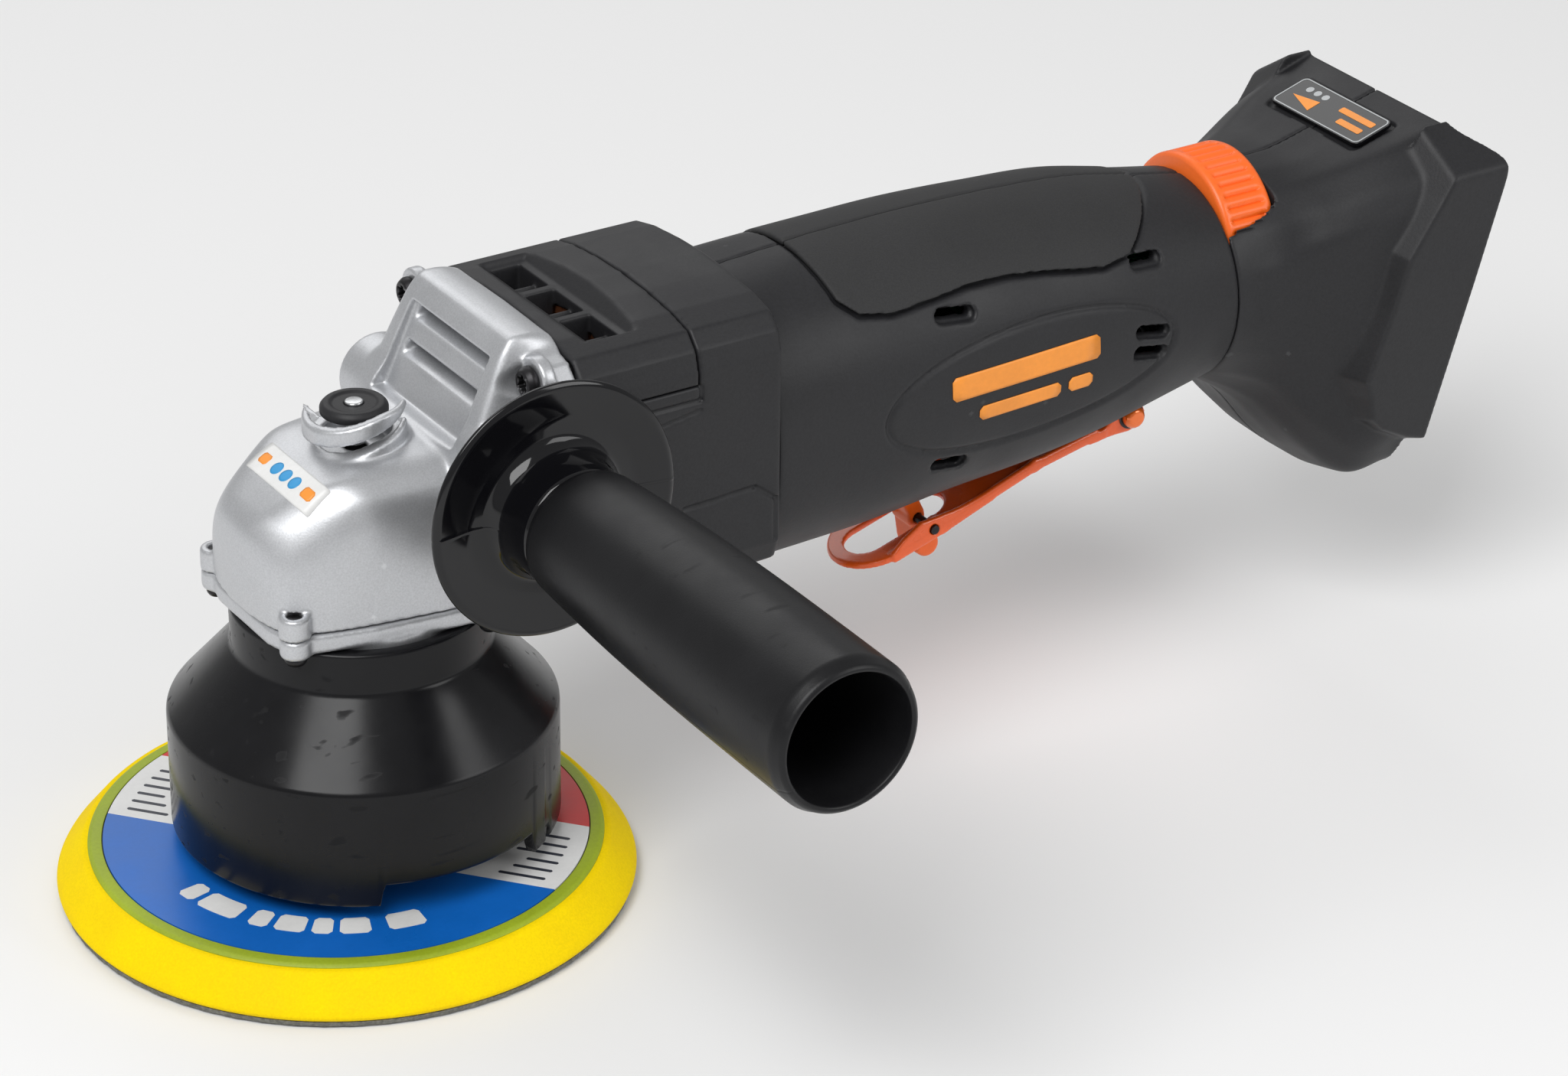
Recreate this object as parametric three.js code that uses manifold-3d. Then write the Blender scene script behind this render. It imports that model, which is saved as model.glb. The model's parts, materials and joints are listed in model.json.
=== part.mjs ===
// Cordless orbital sander with an angled gear head and a side handle.
// Millimetres. +Z is the spindle axis, z = 0 is the underside of the pad,
// +X runs from the spindle to the battery foot, and the side handle points to -Y.
import * as THREE from 'three';
import { ConvexGeometry } from 'three/addons/geometries/ConvexGeometry.js';
import { mergeVertices } from 'three/addons/utils/BufferGeometryUtils.js';
import Module from 'manifold-3d';

const wasm = await Module();
wasm.setup();

// ---------------------------------------------------------------- dimensions
const GAP = 0.3; // clearance between neighbouring pieces
const SEAM = 0.15; // half the gap between the two moulded halves
const RUN = 0.05; // radial clearance of a running fit

const PAD_R = 62.5; // sanding pad radius
const PAD_OFFSET = -5; // the pad's centre from the spindle axis, along X
const HOOK_T = 1.2; // hook layer thickness
const FOAM_TOP = 10.2; // height of the foam's flat top
const LABEL_R = 52.2; // printed label disc radius

const SKIRT_R = 41.8; // shroud skirt radius
const SKIRT_BOTTOM = 14.6; // height of the skirt's lower edge
const SKIRT_TOP = 41.4; // height of the skirt's shoulder
const NECK_R = 27.7; // shroud neck radius
const NECK_BOTTOM = 57.3; // height where the cone meets the neck
const WALL = 2.4; // moulded wall thickness

const PLATE_BOTTOM = 67; // underside of the bearing plate
const CASE_BOTTOM = 71.6; // split between bearing plate and gear case
const AXIS_Z = 92; // height of the motor axis
const SPINDLE_R = 6; // spindle radius in its bearings
const SPINDLE_TOP = 99.6; // upper end of the spindle
const SHOULDER = 1; // step of the spindle's radius above and below its bearings
const HUB_BORE_R = 5; // spindle end inside the eccentric hub
const UPPER_BEARING_R = 9.5;
const LOWER_BEARING_R = 13;
const PAD_BEARING_R = 9;
const PAD_BOLT_R = 4; // bolt that carries the pad
const CASE_TOP = 104.5; // top of the gear case at the spindle
const BUTTON_R = 7.2; // spindle lock button radius
const BUTTON_TOP = 111.6; // top of the released button
const BUTTON_TRAVEL = 2.2; // stroke of the button
const LOCK_PIN_R = 2; // pin under the button

const FLANGE_FRONT = 29.5; // front face of the gear case flange
const FLANGE_BACK = 36; // rear face of the gear case flange
const FIELD_LENGTH = 49; // from the flange to the rear face of the field case
const FIELD_BACK = FLANGE_BACK + FIELD_LENGTH;
const FIELD_W = 31.5; // half width of the field case
const FIELD_LOW = 61.5; // underside of the field case
const FIELD_HIGH = 125.8; // top of the field case
const COVER_BACK = 64.3; // rear edge of the vent cover
const COVER_LOW = 112; // lower edge of the vent cover
const SCREW_Y = 25.5; // head screws from the centre plane
const SCREW_HIGH = 119.6; // height of the upper head screws
const SCREW_LOW = 67.5; // height of the lower head screws
const HEAD_FRONT = 25.6; // front of the head screws

const GRIP_LENGTH = 126.6; // from the field case to the circular seam with the foot
const GRIP_BACK = FIELD_BACK + GRIP_LENGTH;
const GRIP_FRONT = FIELD_BACK + GAP;
const STATOR_R = 27; // stator radius
const CORE_R = 15.6; // armature core radius
const SHAFT_R = 3.5; // armature shaft radius
const PINION_BORE_R = 1.8; // thin end of the shaft that carries the pinion
const FRONT_BEARING_R = 13; // motor bearing in the gear case
const REAR_BEARING_R = 8; // motor bearing in the grip
const COMMUTATOR_R = 9;
const CORE_FRONT = 52; // front of the armature core and stator
const CORE_BACK = FIELD_BACK + 7; // their rear
const BRUSH_X = FIELD_BACK + 14.5; // front of the carbon brushes
const SEAT_X = FIELD_BACK + 29; // front of the rear bearing's seat

const CROWN_TEETH = 24;
const PINION_TEETH = 8;
const CROWN_R = 15.6; // pitch radius of the crown gear at its outer end
const PINION_R = CROWN_R * PINION_TEETH / CROWN_TEETH; // pitch radius of the pinion
const GEAR_IN = 10.6; // inner end of the teeth, from the spindle axis
const CROWN_TIP = 0.5; // height of the crown teeth above their pitch cone
const PINION_TIP = 0.4; // height of the pinion teeth above their pitch cone

const HANDLE_X = 21.3; // side handle axis
const HANDLE_Z = 100.8;
const BOSS_Y = 31; // outer face of the handle bosses
const BOSS_R = 9;
const HANDLE_END = 155; // outer end of the side handle
const HANDLE_R = 16.3; // largest grip radius of the side handle
const HANDLE_FLANGE_R = 28.2; // hand guard flange radius
const STUD_R = 4; // side handle stud radius
const TUBE_R = 9; // flange tube inside the side handle's grip

const DIAL_X = GRIP_BACK + 0.7; // front of the speed dial
const DIAL_T = 14; // thickness of the speed dial
const DIAL_R = 18.8; // speed dial radius
const DIAL_Z = 100.6; // height of the speed dial's axis
const DIAL_BORE = 3; // shaft radius of the potentiometer

const LEVER_X = GRIP_BACK - 18.6; // safety lever pivot
const LEVER_Z = 63.6;
const LEVER_W = 10.7; // half width of the lever
const SHEET = 1.5; // lever sheet thickness
const LEVER_PIN_R = 2; // pivot pin of the lever
const TAB_PIN_R = 1.1; // pivot pin of the lock-off tab
const TAB_W = 4; // half width of the lock-off tab
const TAB_PIVOT_X = LEVER_X - 53.6; // lock-off tab pivot, lever released
const TAB_PIVOT_Z = 48.6;
const PLUNGER_X = LEVER_X - 37; // switch plunger
const PLUNGER_R = 2.6;

const REAR_TOP = 56.4; // rear edge of the foot's top, from the circular seam
const REAR_TOP_Z = 124.3;
const DISPLAY_X = GRIP_BACK + 43.1; // middle of the charge display
const FOOT_W = 37.8; // half width of the foot at the battery end

// Screws: head radius, head height, shank radius, shank length and pilot hole radius.
const PLATE_SCREW = { head: 2.4, height: 1.8, shank: 1.6, length: 9, hole: 1.7 };
const HEAD_SCREW = { head: 3.5, height: 2.4, shank: 2, length: 16, hole: 2.2 };
const SHELL_SCREW = { head: 3, height: 2.2, shank: 1.55, length: 36, hole: 1.75 };

// ------------------------------------------------------------------ helpers
const V3 = (x, y, z) => new THREE.Vector3(x, y, z);

// Turns a closed triangle mesh into a solid that can be joined and cut.
function solid(geometry) {
  const bare = geometry.clone();
  bare.deleteAttribute('normal');
  bare.deleteAttribute('uv');
  const g = mergeVertices(bare, 1e-4);
  const p = g.getAttribute('position');
  const tri = Uint32Array.from(g.getIndex().array);
  let volume = 0;
  const [a, b, c] = [V3(), V3(), V3()];
  for (let i = 0; i < tri.length; i += 3) {
    a.fromBufferAttribute(p, tri[i]);
    b.fromBufferAttribute(p, tri[i + 1]);
    c.fromBufferAttribute(p, tri[i + 2]);
    volume += a.dot(b.cross(c));
  }
  if (volume < 0) {
    for (let i = 0; i < tri.length; i += 3) {
      [tri[i + 1], tri[i + 2]] = [tri[i + 2], tri[i + 1]];
    }
  }
  const mesh = new wasm.Mesh({ numProp: 3, vertProperties: Float32Array.from(p.array), triVerts: tri });
  mesh.merge();
  return new wasm.Manifold(mesh);
}

// Turns a solid back into a geometry.
function geometryOf(body) {
  const mesh = body.getMesh();
  const g = new THREE.BufferGeometry();
  g.setAttribute('position', new THREE.BufferAttribute(Float32Array.from(mesh.vertProperties), 3));
  g.setIndex(new THREE.BufferAttribute(Uint32Array.from(mesh.triVerts), 1));
  g.computeVertexNormals();
  return g;
}

const union = (...parts) => parts.reduce((sum, part) => sum.add(part));
const minus = (body, ...cuts) => cuts.reduce((rest, cut) => rest.subtract(cut), body);

// A profile of [radius, height] points turned about Z.
function turned(profile, segments = 40) {
  const points = profile.map(([r, h]) => new THREE.Vector2(r, h));
  const g = new THREE.LatheGeometry(points, segments);
  g.rotateX(Math.PI / 2);
  return solid(g);
}

// A washer-like ring about Z; an inner radius of 0 gives a disc.
function ring(inner, outer, low, high, segments = 40) {
  if (inner === 0) {
    return turned([[0, low], [outer, low], [outer, high], [0, high]], segments);
  }
  return turned([[inner, low], [outer, low], [outer, high], [inner, high], [inner, low]], segments);
}

// The same body lying along X or Y: its own +Z turns to +X, or to -Y.
const alongX = (body, x, y, z) => body.rotate([0, 90, 0]).translate([x, y, z]);
const alongY = (body, x, y, z) => body.rotate([90, 0, 0]).translate([x, y, z]);

function rodX(r, x0, x1, y, z, segments = 24) {
  return alongX(ring(0, r, 0, x1 - x0, segments), x0, y, z);
}

function rodY(r, y0, y1, x, z, segments = 24) {
  return alongY(ring(0, r, 0, y1 - y0, segments), x, y1, z);
}

function block(x0, x1, y0, y1, z0, z1) {
  const g = new THREE.BoxGeometry(x1 - x0, y1 - y0, z1 - z0);
  g.translate((x0 + x1) / 2, (y0 + y1) / 2, (z0 + z1) / 2);
  return solid(g);
}

// A closed outline of [x, y] points raised from z0 to z1.
function prismZ(outline, z0, z1) {
  const shape = new THREE.Shape(outline.map(([x, y]) => new THREE.Vector2(x, y)));
  const g = new THREE.ExtrudeGeometry(shape, { depth: z1 - z0, bevelEnabled: false });
  g.translate(0, 0, z0);
  return solid(g);
}

// A closed outline of [y, z] points swept from x0 to x1.
function prismX(outline, x0, x1) {
  return prismZ(outline, x0, x1).rotate([90, 0, 90]);
}

// A closed outline of [x, z] points swept from y0 to y1.
function prismY(outline, y0, y1) {
  return prismZ(outline, -y1, -y0).rotate([90, 0, 0]);
}

function hull(points) {
  return solid(new ConvexGeometry(points.map(([x, y, z]) => V3(x, y, z))));
}

// Points given for y >= 0, repeated on the other side.
const bothSides = (points) => [...points, ...points.map(([x, y, z]) => [x, -y, z])];

// A skin through a row of rings with equal point counts, closed at both ends.
function skin(rings) {
  const n = rings[0].length;
  const vertices = rings.flat().flatMap(([x, y, z]) => [x, y, z]);
  const index = [];
  for (let r = 0; r + 1 < rings.length; r += 1) {
    for (let i = 0; i < n; i += 1) {
      const j = (i + 1) % n;
      const [a, b, c, d] = [r * n + i, r * n + j, (r + 1) * n + j, (r + 1) * n + i];
      index.push(a, b, c, a, c, d);
    }
  }
  for (const end of [0, rings.length - 1]) {
    const middle = vertices.length / 3;
    const sum = rings[end].reduce((s, p) => s.map((v, k) => v + p[k] / n), [0, 0, 0]);
    vertices.push(...sum);
    for (let i = 0; i < n; i += 1) {
      const j = (i + 1) % n;
      const [a, b] = end === 0 ? [j, i] : [i, j];
      index.push(middle, end * n + a, end * n + b);
    }
  }
  const g = new THREE.BufferGeometry();
  g.setAttribute('position', new THREE.Float32BufferAttribute(vertices, 3));
  g.setIndex(index);
  return solid(g);
}

// The half of a body on the +Y side (side = 1) or the -Y side (side = -1) of the centre plane.
function half(body, side) {
  const [y0, y1] = side > 0 ? [SEAM, 100] : [-100, -SEAM];
  return body.intersect(block(-100, 400, y0, y1, -50, 200));
}

// ---------------------------------------------------------------- materials
const paint = (color, roughness, metalness = 0) =>
  new THREE.MeshStandardMaterial({ color, roughness, metalness });
const SILVER = paint(0xb9bdc2, 0.38, 0.7);
const STEEL = paint(0x9a9da1, 0.3, 0.95);
const DARK_STEEL = paint(0x3a3b3d, 0.4, 0.9);
const COPPER = paint(0xb06a3c, 0.35, 0.9);
const BLACK = paint(0x1f2021, 0.62);
const GLOSS = paint(0x0d0d0e, 0.12);
const SEMI = paint(0x18191a, 0.35);
const RUBBER = paint(0x2c2d2f, 0.8);
const ORANGE = paint(0xff5a1e, 0.35);
const YELLOW = paint(0xffe000, 0.85);
const HOOK = paint(0x8a8a84, 0.95);
const PRINT = paint(0x1560a8, 0.4);
const BOARD = paint(0x2c5a34, 0.5);
const COPPER_RED = paint(0xa8502a, 0.4, 0.8);

const sander = new THREE.Group();
sander.name = 'orbital_sander';

function group(name, parent = sander) {
  const g = new THREE.Group();
  g.name = name;
  parent.add(g);
  return g;
}

function place(parent, name, body, material, position = [0, 0, 0]) {
  const mesh = new THREE.Mesh(geometryOf(body), material);
  mesh.name = name;
  mesh.position.set(...position);
  parent.add(mesh);
  return mesh;
}

// ---------------------------------------------------------------- gear head
const head = group('gear_head');

// Half outline of the flange and field case in the YZ plane, from top to bottom.
const FIELD_HALF = [
  [10, FIELD_HIGH - 0.5], [20, FIELD_HIGH - 1.4], [27, FIELD_HIGH - 3], [30.2, FIELD_HIGH - 6.4],
  [FIELD_W, FIELD_HIGH - 11], [FIELD_W, FIELD_LOW + 9], [29.6, FIELD_LOW + 4], [25, FIELD_LOW + 1],
  [18, FIELD_LOW],
];
const fieldOutline = (inset = 0) => {
  const mid = (FIELD_HIGH + FIELD_LOW) / 2;
  const s = 1 - inset / FIELD_W;
  const flank = FIELD_HALF.map(([y, z]) => [y * s, mid + (z - mid) * s]);
  return [...flank, ...flank.slice().reverse().map(([y, z]) => [-y, z])];
};

const nose = hull(bothSides([
  [-27.4, 11, CASE_BOTTOM], [-25.8, 17.2, CASE_BOTTOM], [-22.4, 19.4, CASE_BOTTOM],
  [-8, 23, CASE_BOTTOM], [8, 25, CASE_BOTTOM], [32, 27.5, CASE_BOTTOM],
  [-30, 9, 86], [-26.6, 16.6, 84], [-12, 23.2, 86], [8, 26, 86], [32, 28.5, 86],
  [-28.4, 9, 92.5], [-25, 14.6, 91.6], [-21, 11, 98.4], [-19.6, 15.6, 94.6], [-12.6, 15.6, 102.4],
  [-11, 21, 97.8], [8, 24.2, 98.5], [8, 18, CASE_TOP - 0.8], [32, 26.5, 98.5],
  [32, 18, CASE_TOP - 0.8], [-8, 6, CASE_TOP], [32, 6, CASE_TOP],
]));
const slope = hull(bothSides([
  [13, 23.5, 100], [16, 21.5, 108.5], [23.6, 20.3, 124.2], [26.5, 19.8, 127.3], [32, 19.8, 127.3],
  [36, 20, 125.6], [36, 26, 118], [36, 28, 100], [30, 27, 100],
]));
const flange = prismX(fieldOutline(0.3), FLANGE_FRONT, FLANGE_BACK);
const rearBody = hull(bothSides([
  [6, 24, CASE_BOTTOM], [32, 27.5, CASE_BOTTOM], [32, 20, 64], [22, 20, CASE_BOTTOM], [32, 28.5, 90],
]));
const bossPair = rodY(BOSS_R, -BOSS_Y, BOSS_Y, HANDLE_X, HANDLE_Z, 24);
const screwEars = [-1, 1].flatMap((side) => [SCREW_HIGH, SCREW_LOW].map((z) =>
  rodX(4.8, HEAD_FRONT + 2.2, FLANGE_FRONT + 1, side * SCREW_Y, z, 20)));
const GUARD_TURN = 52; // direction of the guard wall's open side, from +X
const guardWall = minus(
  ring(8.4, 10.8, CASE_TOP - 3, 112.2, 32),
  block(0.5, 20, -12, 12, CASE_TOP + 0.6, 120).rotate([0, 0, GUARD_TURN]),
);
const buttonBoss = ring(0, 10.8, CASE_TOP - 3, CASE_TOP + 1.2, 32);

const wallSlot = (x, z, w) => hull(bothSides([
  [x - 4, w, z - 2.7], [x + 3, w, z - 0.6], [x - 4, w, z + 0.3], [x + 3, w, z + 2.1],
]));
const gearRoom = ring(0, CROWN_R + 3, CASE_BOTTOM - 10, 96.2, 32);
const shaftRoom = rodX(8.6, 0, 24, 0, AXIS_Z, 20);
const seatRoom = rodX(FRONT_BEARING_R + RUN, 23.4, 40, 0, AXIS_Z, 24);
const bearingSeat = ring(0, UPPER_BEARING_R, 90, 100.4, 24);
const lockBore = ring(0, LOCK_PIN_R + 0.4, 95, 120, 20);
const springRoom = ring(0, 5.6, 101.6, 120, 24);
const stud = rodY(STUD_R + 0.25, -60, -14, HANDLE_X, HANDLE_Z, 20);
const studFar = rodY(STUD_R + 0.25, 20, 60, HANDLE_X, HANDLE_Z, 20);
const headHoles = [-1, 1].flatMap((side) => [SCREW_HIGH, SCREW_LOW].map((z) =>
  rodX(HEAD_SCREW.hole, 20, 50, side * SCREW_Y, z, 12)));
const headPockets = [-1, 1].map((side) =>
  rodX(HEAD_SCREW.head + 0.4, 14, HEAD_FRONT + 2.2, side * SCREW_Y, SCREW_HIGH, 20));
const PLATE_SCREWS = [[-24.4, 17.8], [-24.4, -17.8], [17, 25.5], [17, -25.5]];
const plateHoles = (r, z0, z1, segments = 12) => PLATE_SCREWS.map(([x, y]) =>
  ring(0, r, z0, z1, segments).translate([x, y, 0]));

const gearCase = minus(
  union(nose, slope, flange, rearBody, bossPair, ...screwEars, buttonBoss, guardWall,
    ...plateHoles(3.2, CASE_BOTTOM, CASE_BOTTOM + 3.4, 12)),
  block(-50, 60, -50, 50, 50, CASE_BOTTOM).subtract(block(30, 60, -50, 50, 40, CASE_BOTTOM)),
  gearRoom, shaftRoom, seatRoom, bearingSeat, lockBore, springRoom, stud, studFar,
  wallSlot(22.2, 121, 14.6), wallSlot(19.4, 114.6, 14.6),
  ...headHoles, ...headPockets, ...plateHoles(PLATE_SCREW.hole, 60, CASE_BOTTOM + 4.8),
);
place(head, 'gear_case', gearCase, SILVER);

const HUB_R = NECK_R - 3.3; // hub of the bearing plate, inside the shroud neck
const plateOutline = [
  [-27.6, 11], [-26, 17.4], [-22.4, 19.6], [-8, 23.2], [8, 25], [19, 25.6], [21.5, 20.5], [29, 20.5],
];
const plateBody = prismZ(
  [...plateOutline, ...plateOutline.slice().reverse().map(([x, y]) => [x, -y])],
  PLATE_BOTTOM, CASE_BOTTOM - GAP,
);
place(head, 'bearing_plate', minus(
  union(plateBody, ring(0, HUB_R - RUN, 60, PLATE_BOTTOM + 1, 40), ring(0, CROWN_R + 2.8, 70, 74, 32),
    ...plateHoles(3.2, PLATE_BOTTOM, CASE_BOTTOM - GAP, 12)),
  ring(0, 8.2, 50, 90, 24), ring(0, LOWER_BEARING_R + RUN, 50, 71, 32),
  ring(0, 15, 73, 90, 24), ...plateHoles(PLATE_SCREW.hole, 60, 79),
), SILVER);

// Skirt that hides the eccentric hub; one stretch of its lower edge is cut back.
const skirtProfile = [
  [SKIRT_R, SKIRT_BOTTOM], [SKIRT_R, SKIRT_TOP], [NECK_R, NECK_BOTTOM], [NECK_R, PLATE_BOTTOM - GAP],
  [HUB_R, PLATE_BOTTOM - GAP], [HUB_R, NECK_BOTTOM], [SKIRT_R - WALL, SKIRT_TOP - 1],
  [SKIRT_R - WALL, SKIRT_BOTTOM], [SKIRT_R, SKIRT_BOTTOM],
];
const sector = (a0, a1, z0, z1) => {
  const at = (deg, r) => [r * Math.cos(deg * Math.PI / 180), r * Math.sin(deg * Math.PI / 180)];
  const steps = 4;
  const arc = Array.from({ length: steps + 1 }, (_, i) => at(a0 + (a1 - a0) * i / steps, 60));
  return prismZ([[0, 0], ...arc], z0, z1);
};
place(head, 'shroud', minus(
  turned(skirtProfile, 48),
  sector(-114, -60, 10, SKIRT_BOTTOM + 5), sector(-53, -49, 10, SKIRT_BOTTOM + 3.5),
  sector(40, 66, 10, SKIRT_BOTTOM + 5),
), SEMI);

// Fasteners: pan heads turned about their own axis, shank towards -Z.
const screw = ({ head: headR, height, shank, length }) => {
  const socket = headR * 0.45;
  return minus(
    turned([
      [0, -length], [shank, -length], [shank, 0], [headR, 0], [headR, height * 0.6],
      [headR * 0.75, height], [0, height],
    ], 12),
    block(-socket, socket, -socket, socket, height * 0.4, height * 2),
  );
};
PLATE_SCREWS.forEach(([x, y], i) => {
  const mesh = place(head, `plate_screw_${i + 1}`, screw(PLATE_SCREW), DARK_STEEL,
    [x, y, PLATE_BOTTOM - RUN]);
  mesh.rotation.x = Math.PI;
});
[[1, SCREW_HIGH], [-1, SCREW_HIGH], [1, SCREW_LOW], [-1, SCREW_LOW]].forEach(([side, z], i) => {
  const mesh = place(head, `head_screw_${i + 1}`, screw(HEAD_SCREW), DARK_STEEL,
    [HEAD_FRONT + 2.2 - RUN, side * SCREW_Y, z]);
  mesh.rotation.y = -Math.PI / 2;
});

// ------------------------------------------------------------- spindle lock
const lock = group('spindle_lock');
const lockButton = minus(
  turned([
    [0, CASE_TOP + 2.6 + BUTTON_TRAVEL], [BUTTON_R, CASE_TOP + 2.6 + BUTTON_TRAVEL],
    [BUTTON_R, BUTTON_TOP - 1], [BUTTON_R - 1, BUTTON_TOP], [0, BUTTON_TOP],
  ], 32),
  ring(0, LOCK_PIN_R + RUN, 100, 120, 20),
);
place(lock, 'lock_button', lockButton, BLACK);
place(lock, 'lock_pin', ring(0, LOCK_PIN_R, SPINDLE_TOP + GAP + BUTTON_TRAVEL, BUTTON_TOP + 0.2, 20), STEEL);

// ------------------------------------------------------------ spindle train
const spin = group('spindle_set');

place(head, 'bearing_upper',
  ring(SPINDLE_R - SHOULDER + RUN, UPPER_BEARING_R - RUN, 92.9, 100.2, 24), STEEL);
place(head, 'bearing_lower',
  ring(SPINDLE_R + SHOULDER + RUN, LOWER_BEARING_R, 61, 71 - RUN, 32), STEEL);

const HUB_TOP = 58;
const SEAT_Z = 52; // the hub stops against the spindle's shoulder
const GEAR_Z = 77; // the crown gear stands above this shoulder
place(spin, 'spindle', turned([
  [0, 36], [HUB_BORE_R, 36], [HUB_BORE_R, SEAT_Z], [SPINDLE_R + SHOULDER, SEAT_Z],
  [SPINDLE_R + SHOULDER, GEAR_Z], [SPINDLE_R - SHOULDER, GEAR_Z],
  [SPINDLE_R - SHOULDER, SPINDLE_TOP], [0, SPINDLE_TOP],
], 24), STEEL);

// Teeth lie on cones that meet where the two axes cross, so both gears taper to that point.
const CROWN_PITCH_Z = AXIS_Z - PINION_R; // pitch height at the crown gear's outer end
const at = (k, r, angle, z) => [k * r * Math.cos(angle), k * r * Math.sin(angle), AXIS_Z + k * (z - AXIS_Z)];
const crownTooth = (i) => {
  const mid = (i + 0.5) * 2 * Math.PI / CROWN_TEETH;
  const wide = 0.22 * 2 * Math.PI / CROWN_TEETH;
  const tip = 0.08 * 2 * Math.PI / CROWN_TEETH;
  const points = [];
  for (const k of [1, GEAR_IN / CROWN_R]) {
    for (const sign of [-1, 1]) {
      points.push(at(k, CROWN_R, mid + sign * wide, CROWN_PITCH_Z - 1.6));
      points.push(at(k, CROWN_R, mid + sign * tip, CROWN_PITCH_Z + CROWN_TIP));
    }
  }
  return hull(points);
};
const crownInner = AXIS_Z - (PINION_R + 1.4) * GEAR_IN / CROWN_R;
const GEAR_BORE_R = SPINDLE_R - SHOULDER + RUN;
const crownBlank = turned([
  [GEAR_BORE_R, GEAR_Z + 0.6], [CROWN_R, GEAR_Z + 2], [CROWN_R, CROWN_PITCH_Z - 1.4], [GEAR_IN, crownInner],
  [GEAR_BORE_R, crownInner], [GEAR_BORE_R, GEAR_Z + 0.6],
], 24);
const crownTeeth = Array.from({ length: CROWN_TEETH }, (_, i) => crownTooth(i));
place(spin, 'crown_gear', union(crownBlank, ...crownTeeth), DARK_STEEL);

// Eccentric hub: a turned body on the spindle with a half-round counterweight opposite the pad bolt.
const hubBody = turned([
  [0, 24], [15, 24], [15, 40], [17, 44], [17, 50], [9, HUB_TOP], [0, HUB_TOP],
], 28);
const weight = ring(0, SKIRT_R - WALL - 5.4, 26, 40, 36).intersect(block(6, 50, -50, 50, 20, 60));
place(spin, 'eccentric_hub', minus(
  union(hubBody, weight),
  ring(0, HUB_BORE_R + RUN, 35.8, SEAT_Z + 0.1, 24),
  ring(0, SPINDLE_R + SHOULDER + RUN, SEAT_Z - RUN, 90, 24),
  ring(0, PAD_BEARING_R + RUN, 10, 34, 24).translate([PAD_OFFSET, 0, 0]),
), DARK_STEEL);

// ---------------------------------------------------------------------- pad
const pad = group('pad_set');
pad.position.set(PAD_OFFSET, 0, 0);
place(spin, 'pad_bearing', ring(PAD_BOLT_R + RUN, PAD_BEARING_R, 25, 33.7, 24), STEEL,
  [PAD_OFFSET, 0, 0]);
place(pad, 'pad_bolt', turned([
  [0, 5], [PAD_BOLT_R + 2, 5], [PAD_BOLT_R + 2, 8], [PAD_BOLT_R, 8], [PAD_BOLT_R, 33.4], [0, 33.4],
], 24), STEEL);
const PLATE_STEP_R = 44; // inside this radius the plate is thinner
place(pad, 'pad_plate', turned([
  [PAD_BOLT_R + RUN, 8.2], [PLATE_STEP_R, 8.2], [PLATE_STEP_R, 6.4], [LABEL_R + 2.2, 6.4],
  [LABEL_R + 2.2, 8.6], [LABEL_R + 1, FOAM_TOP + 0.4], [13, FOAM_TOP + 0.4], [13, 15], [8.5, 23.4],
  [PAD_BOLT_R + RUN, 23.4], [PAD_BOLT_R + RUN, 8.2],
], 48), BLACK);
place(pad, 'pad_label', ring(14, LABEL_R, FOAM_TOP + 0.45, FOAM_TOP + 0.8, 48), PRINT);
place(pad, 'pad_foam', turned([
  [8, HOOK_T], [PAD_R - 1, HOOK_T], [PAD_R, HOOK_T + 1.2], [PAD_R - 0.6, HOOK_T + 2.2],
  [LABEL_R + 4.6, FOAM_TOP], [LABEL_R + 2.6, FOAM_TOP - 0.2], [LABEL_R + 2.6, 6], [PLATE_STEP_R - 0.4, 6],
  [PLATE_STEP_R - 0.4, 7.8], [8, 7.8], [8, HOOK_T],
], 48), YELLOW);
place(pad, 'pad_hook', ring(0, PAD_R - 0.8, 0, HOOK_T - RUN, 48), HOOK);

// -------------------------------------------------------------------- motor
const motor = group('motor');
motor.position.set(0, 0, AXIS_Z);
motor.rotation.y = Math.PI / 2;

// In this group +Z runs along the motor axis, from the spindle axis to the rear.
const pinionOutline = (k) => {
  const points = [];
  const [root, tip] = [PINION_R - 1.5, PINION_R + PINION_TIP];
  const pitch = 2 * Math.PI / PINION_TEETH;
  for (let i = 0; i < PINION_TEETH; i += 1) {
    const mid = i * pitch;
    for (const [r, a] of [[root, -0.3], [tip, -0.1], [tip, 0.1], [root, 0.3]]) {
      points.push([k * r * Math.cos(mid + a * pitch), k * r * Math.sin(mid + a * pitch), k * CROWN_R]);
    }
  }
  return points;
};
const pinionTeeth = skin([pinionOutline(GEAR_IN / CROWN_R + 0.02), pinionOutline(0.985)]);
place(motor, 'pinion', minus(
  union(pinionTeeth, ring(0, PINION_R - 0.6, CROWN_R * 0.985 - 0.5, 20, 24)),
  ring(0, PINION_BORE_R + RUN, 0, 40, 16),
), DARK_STEEL);

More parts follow.
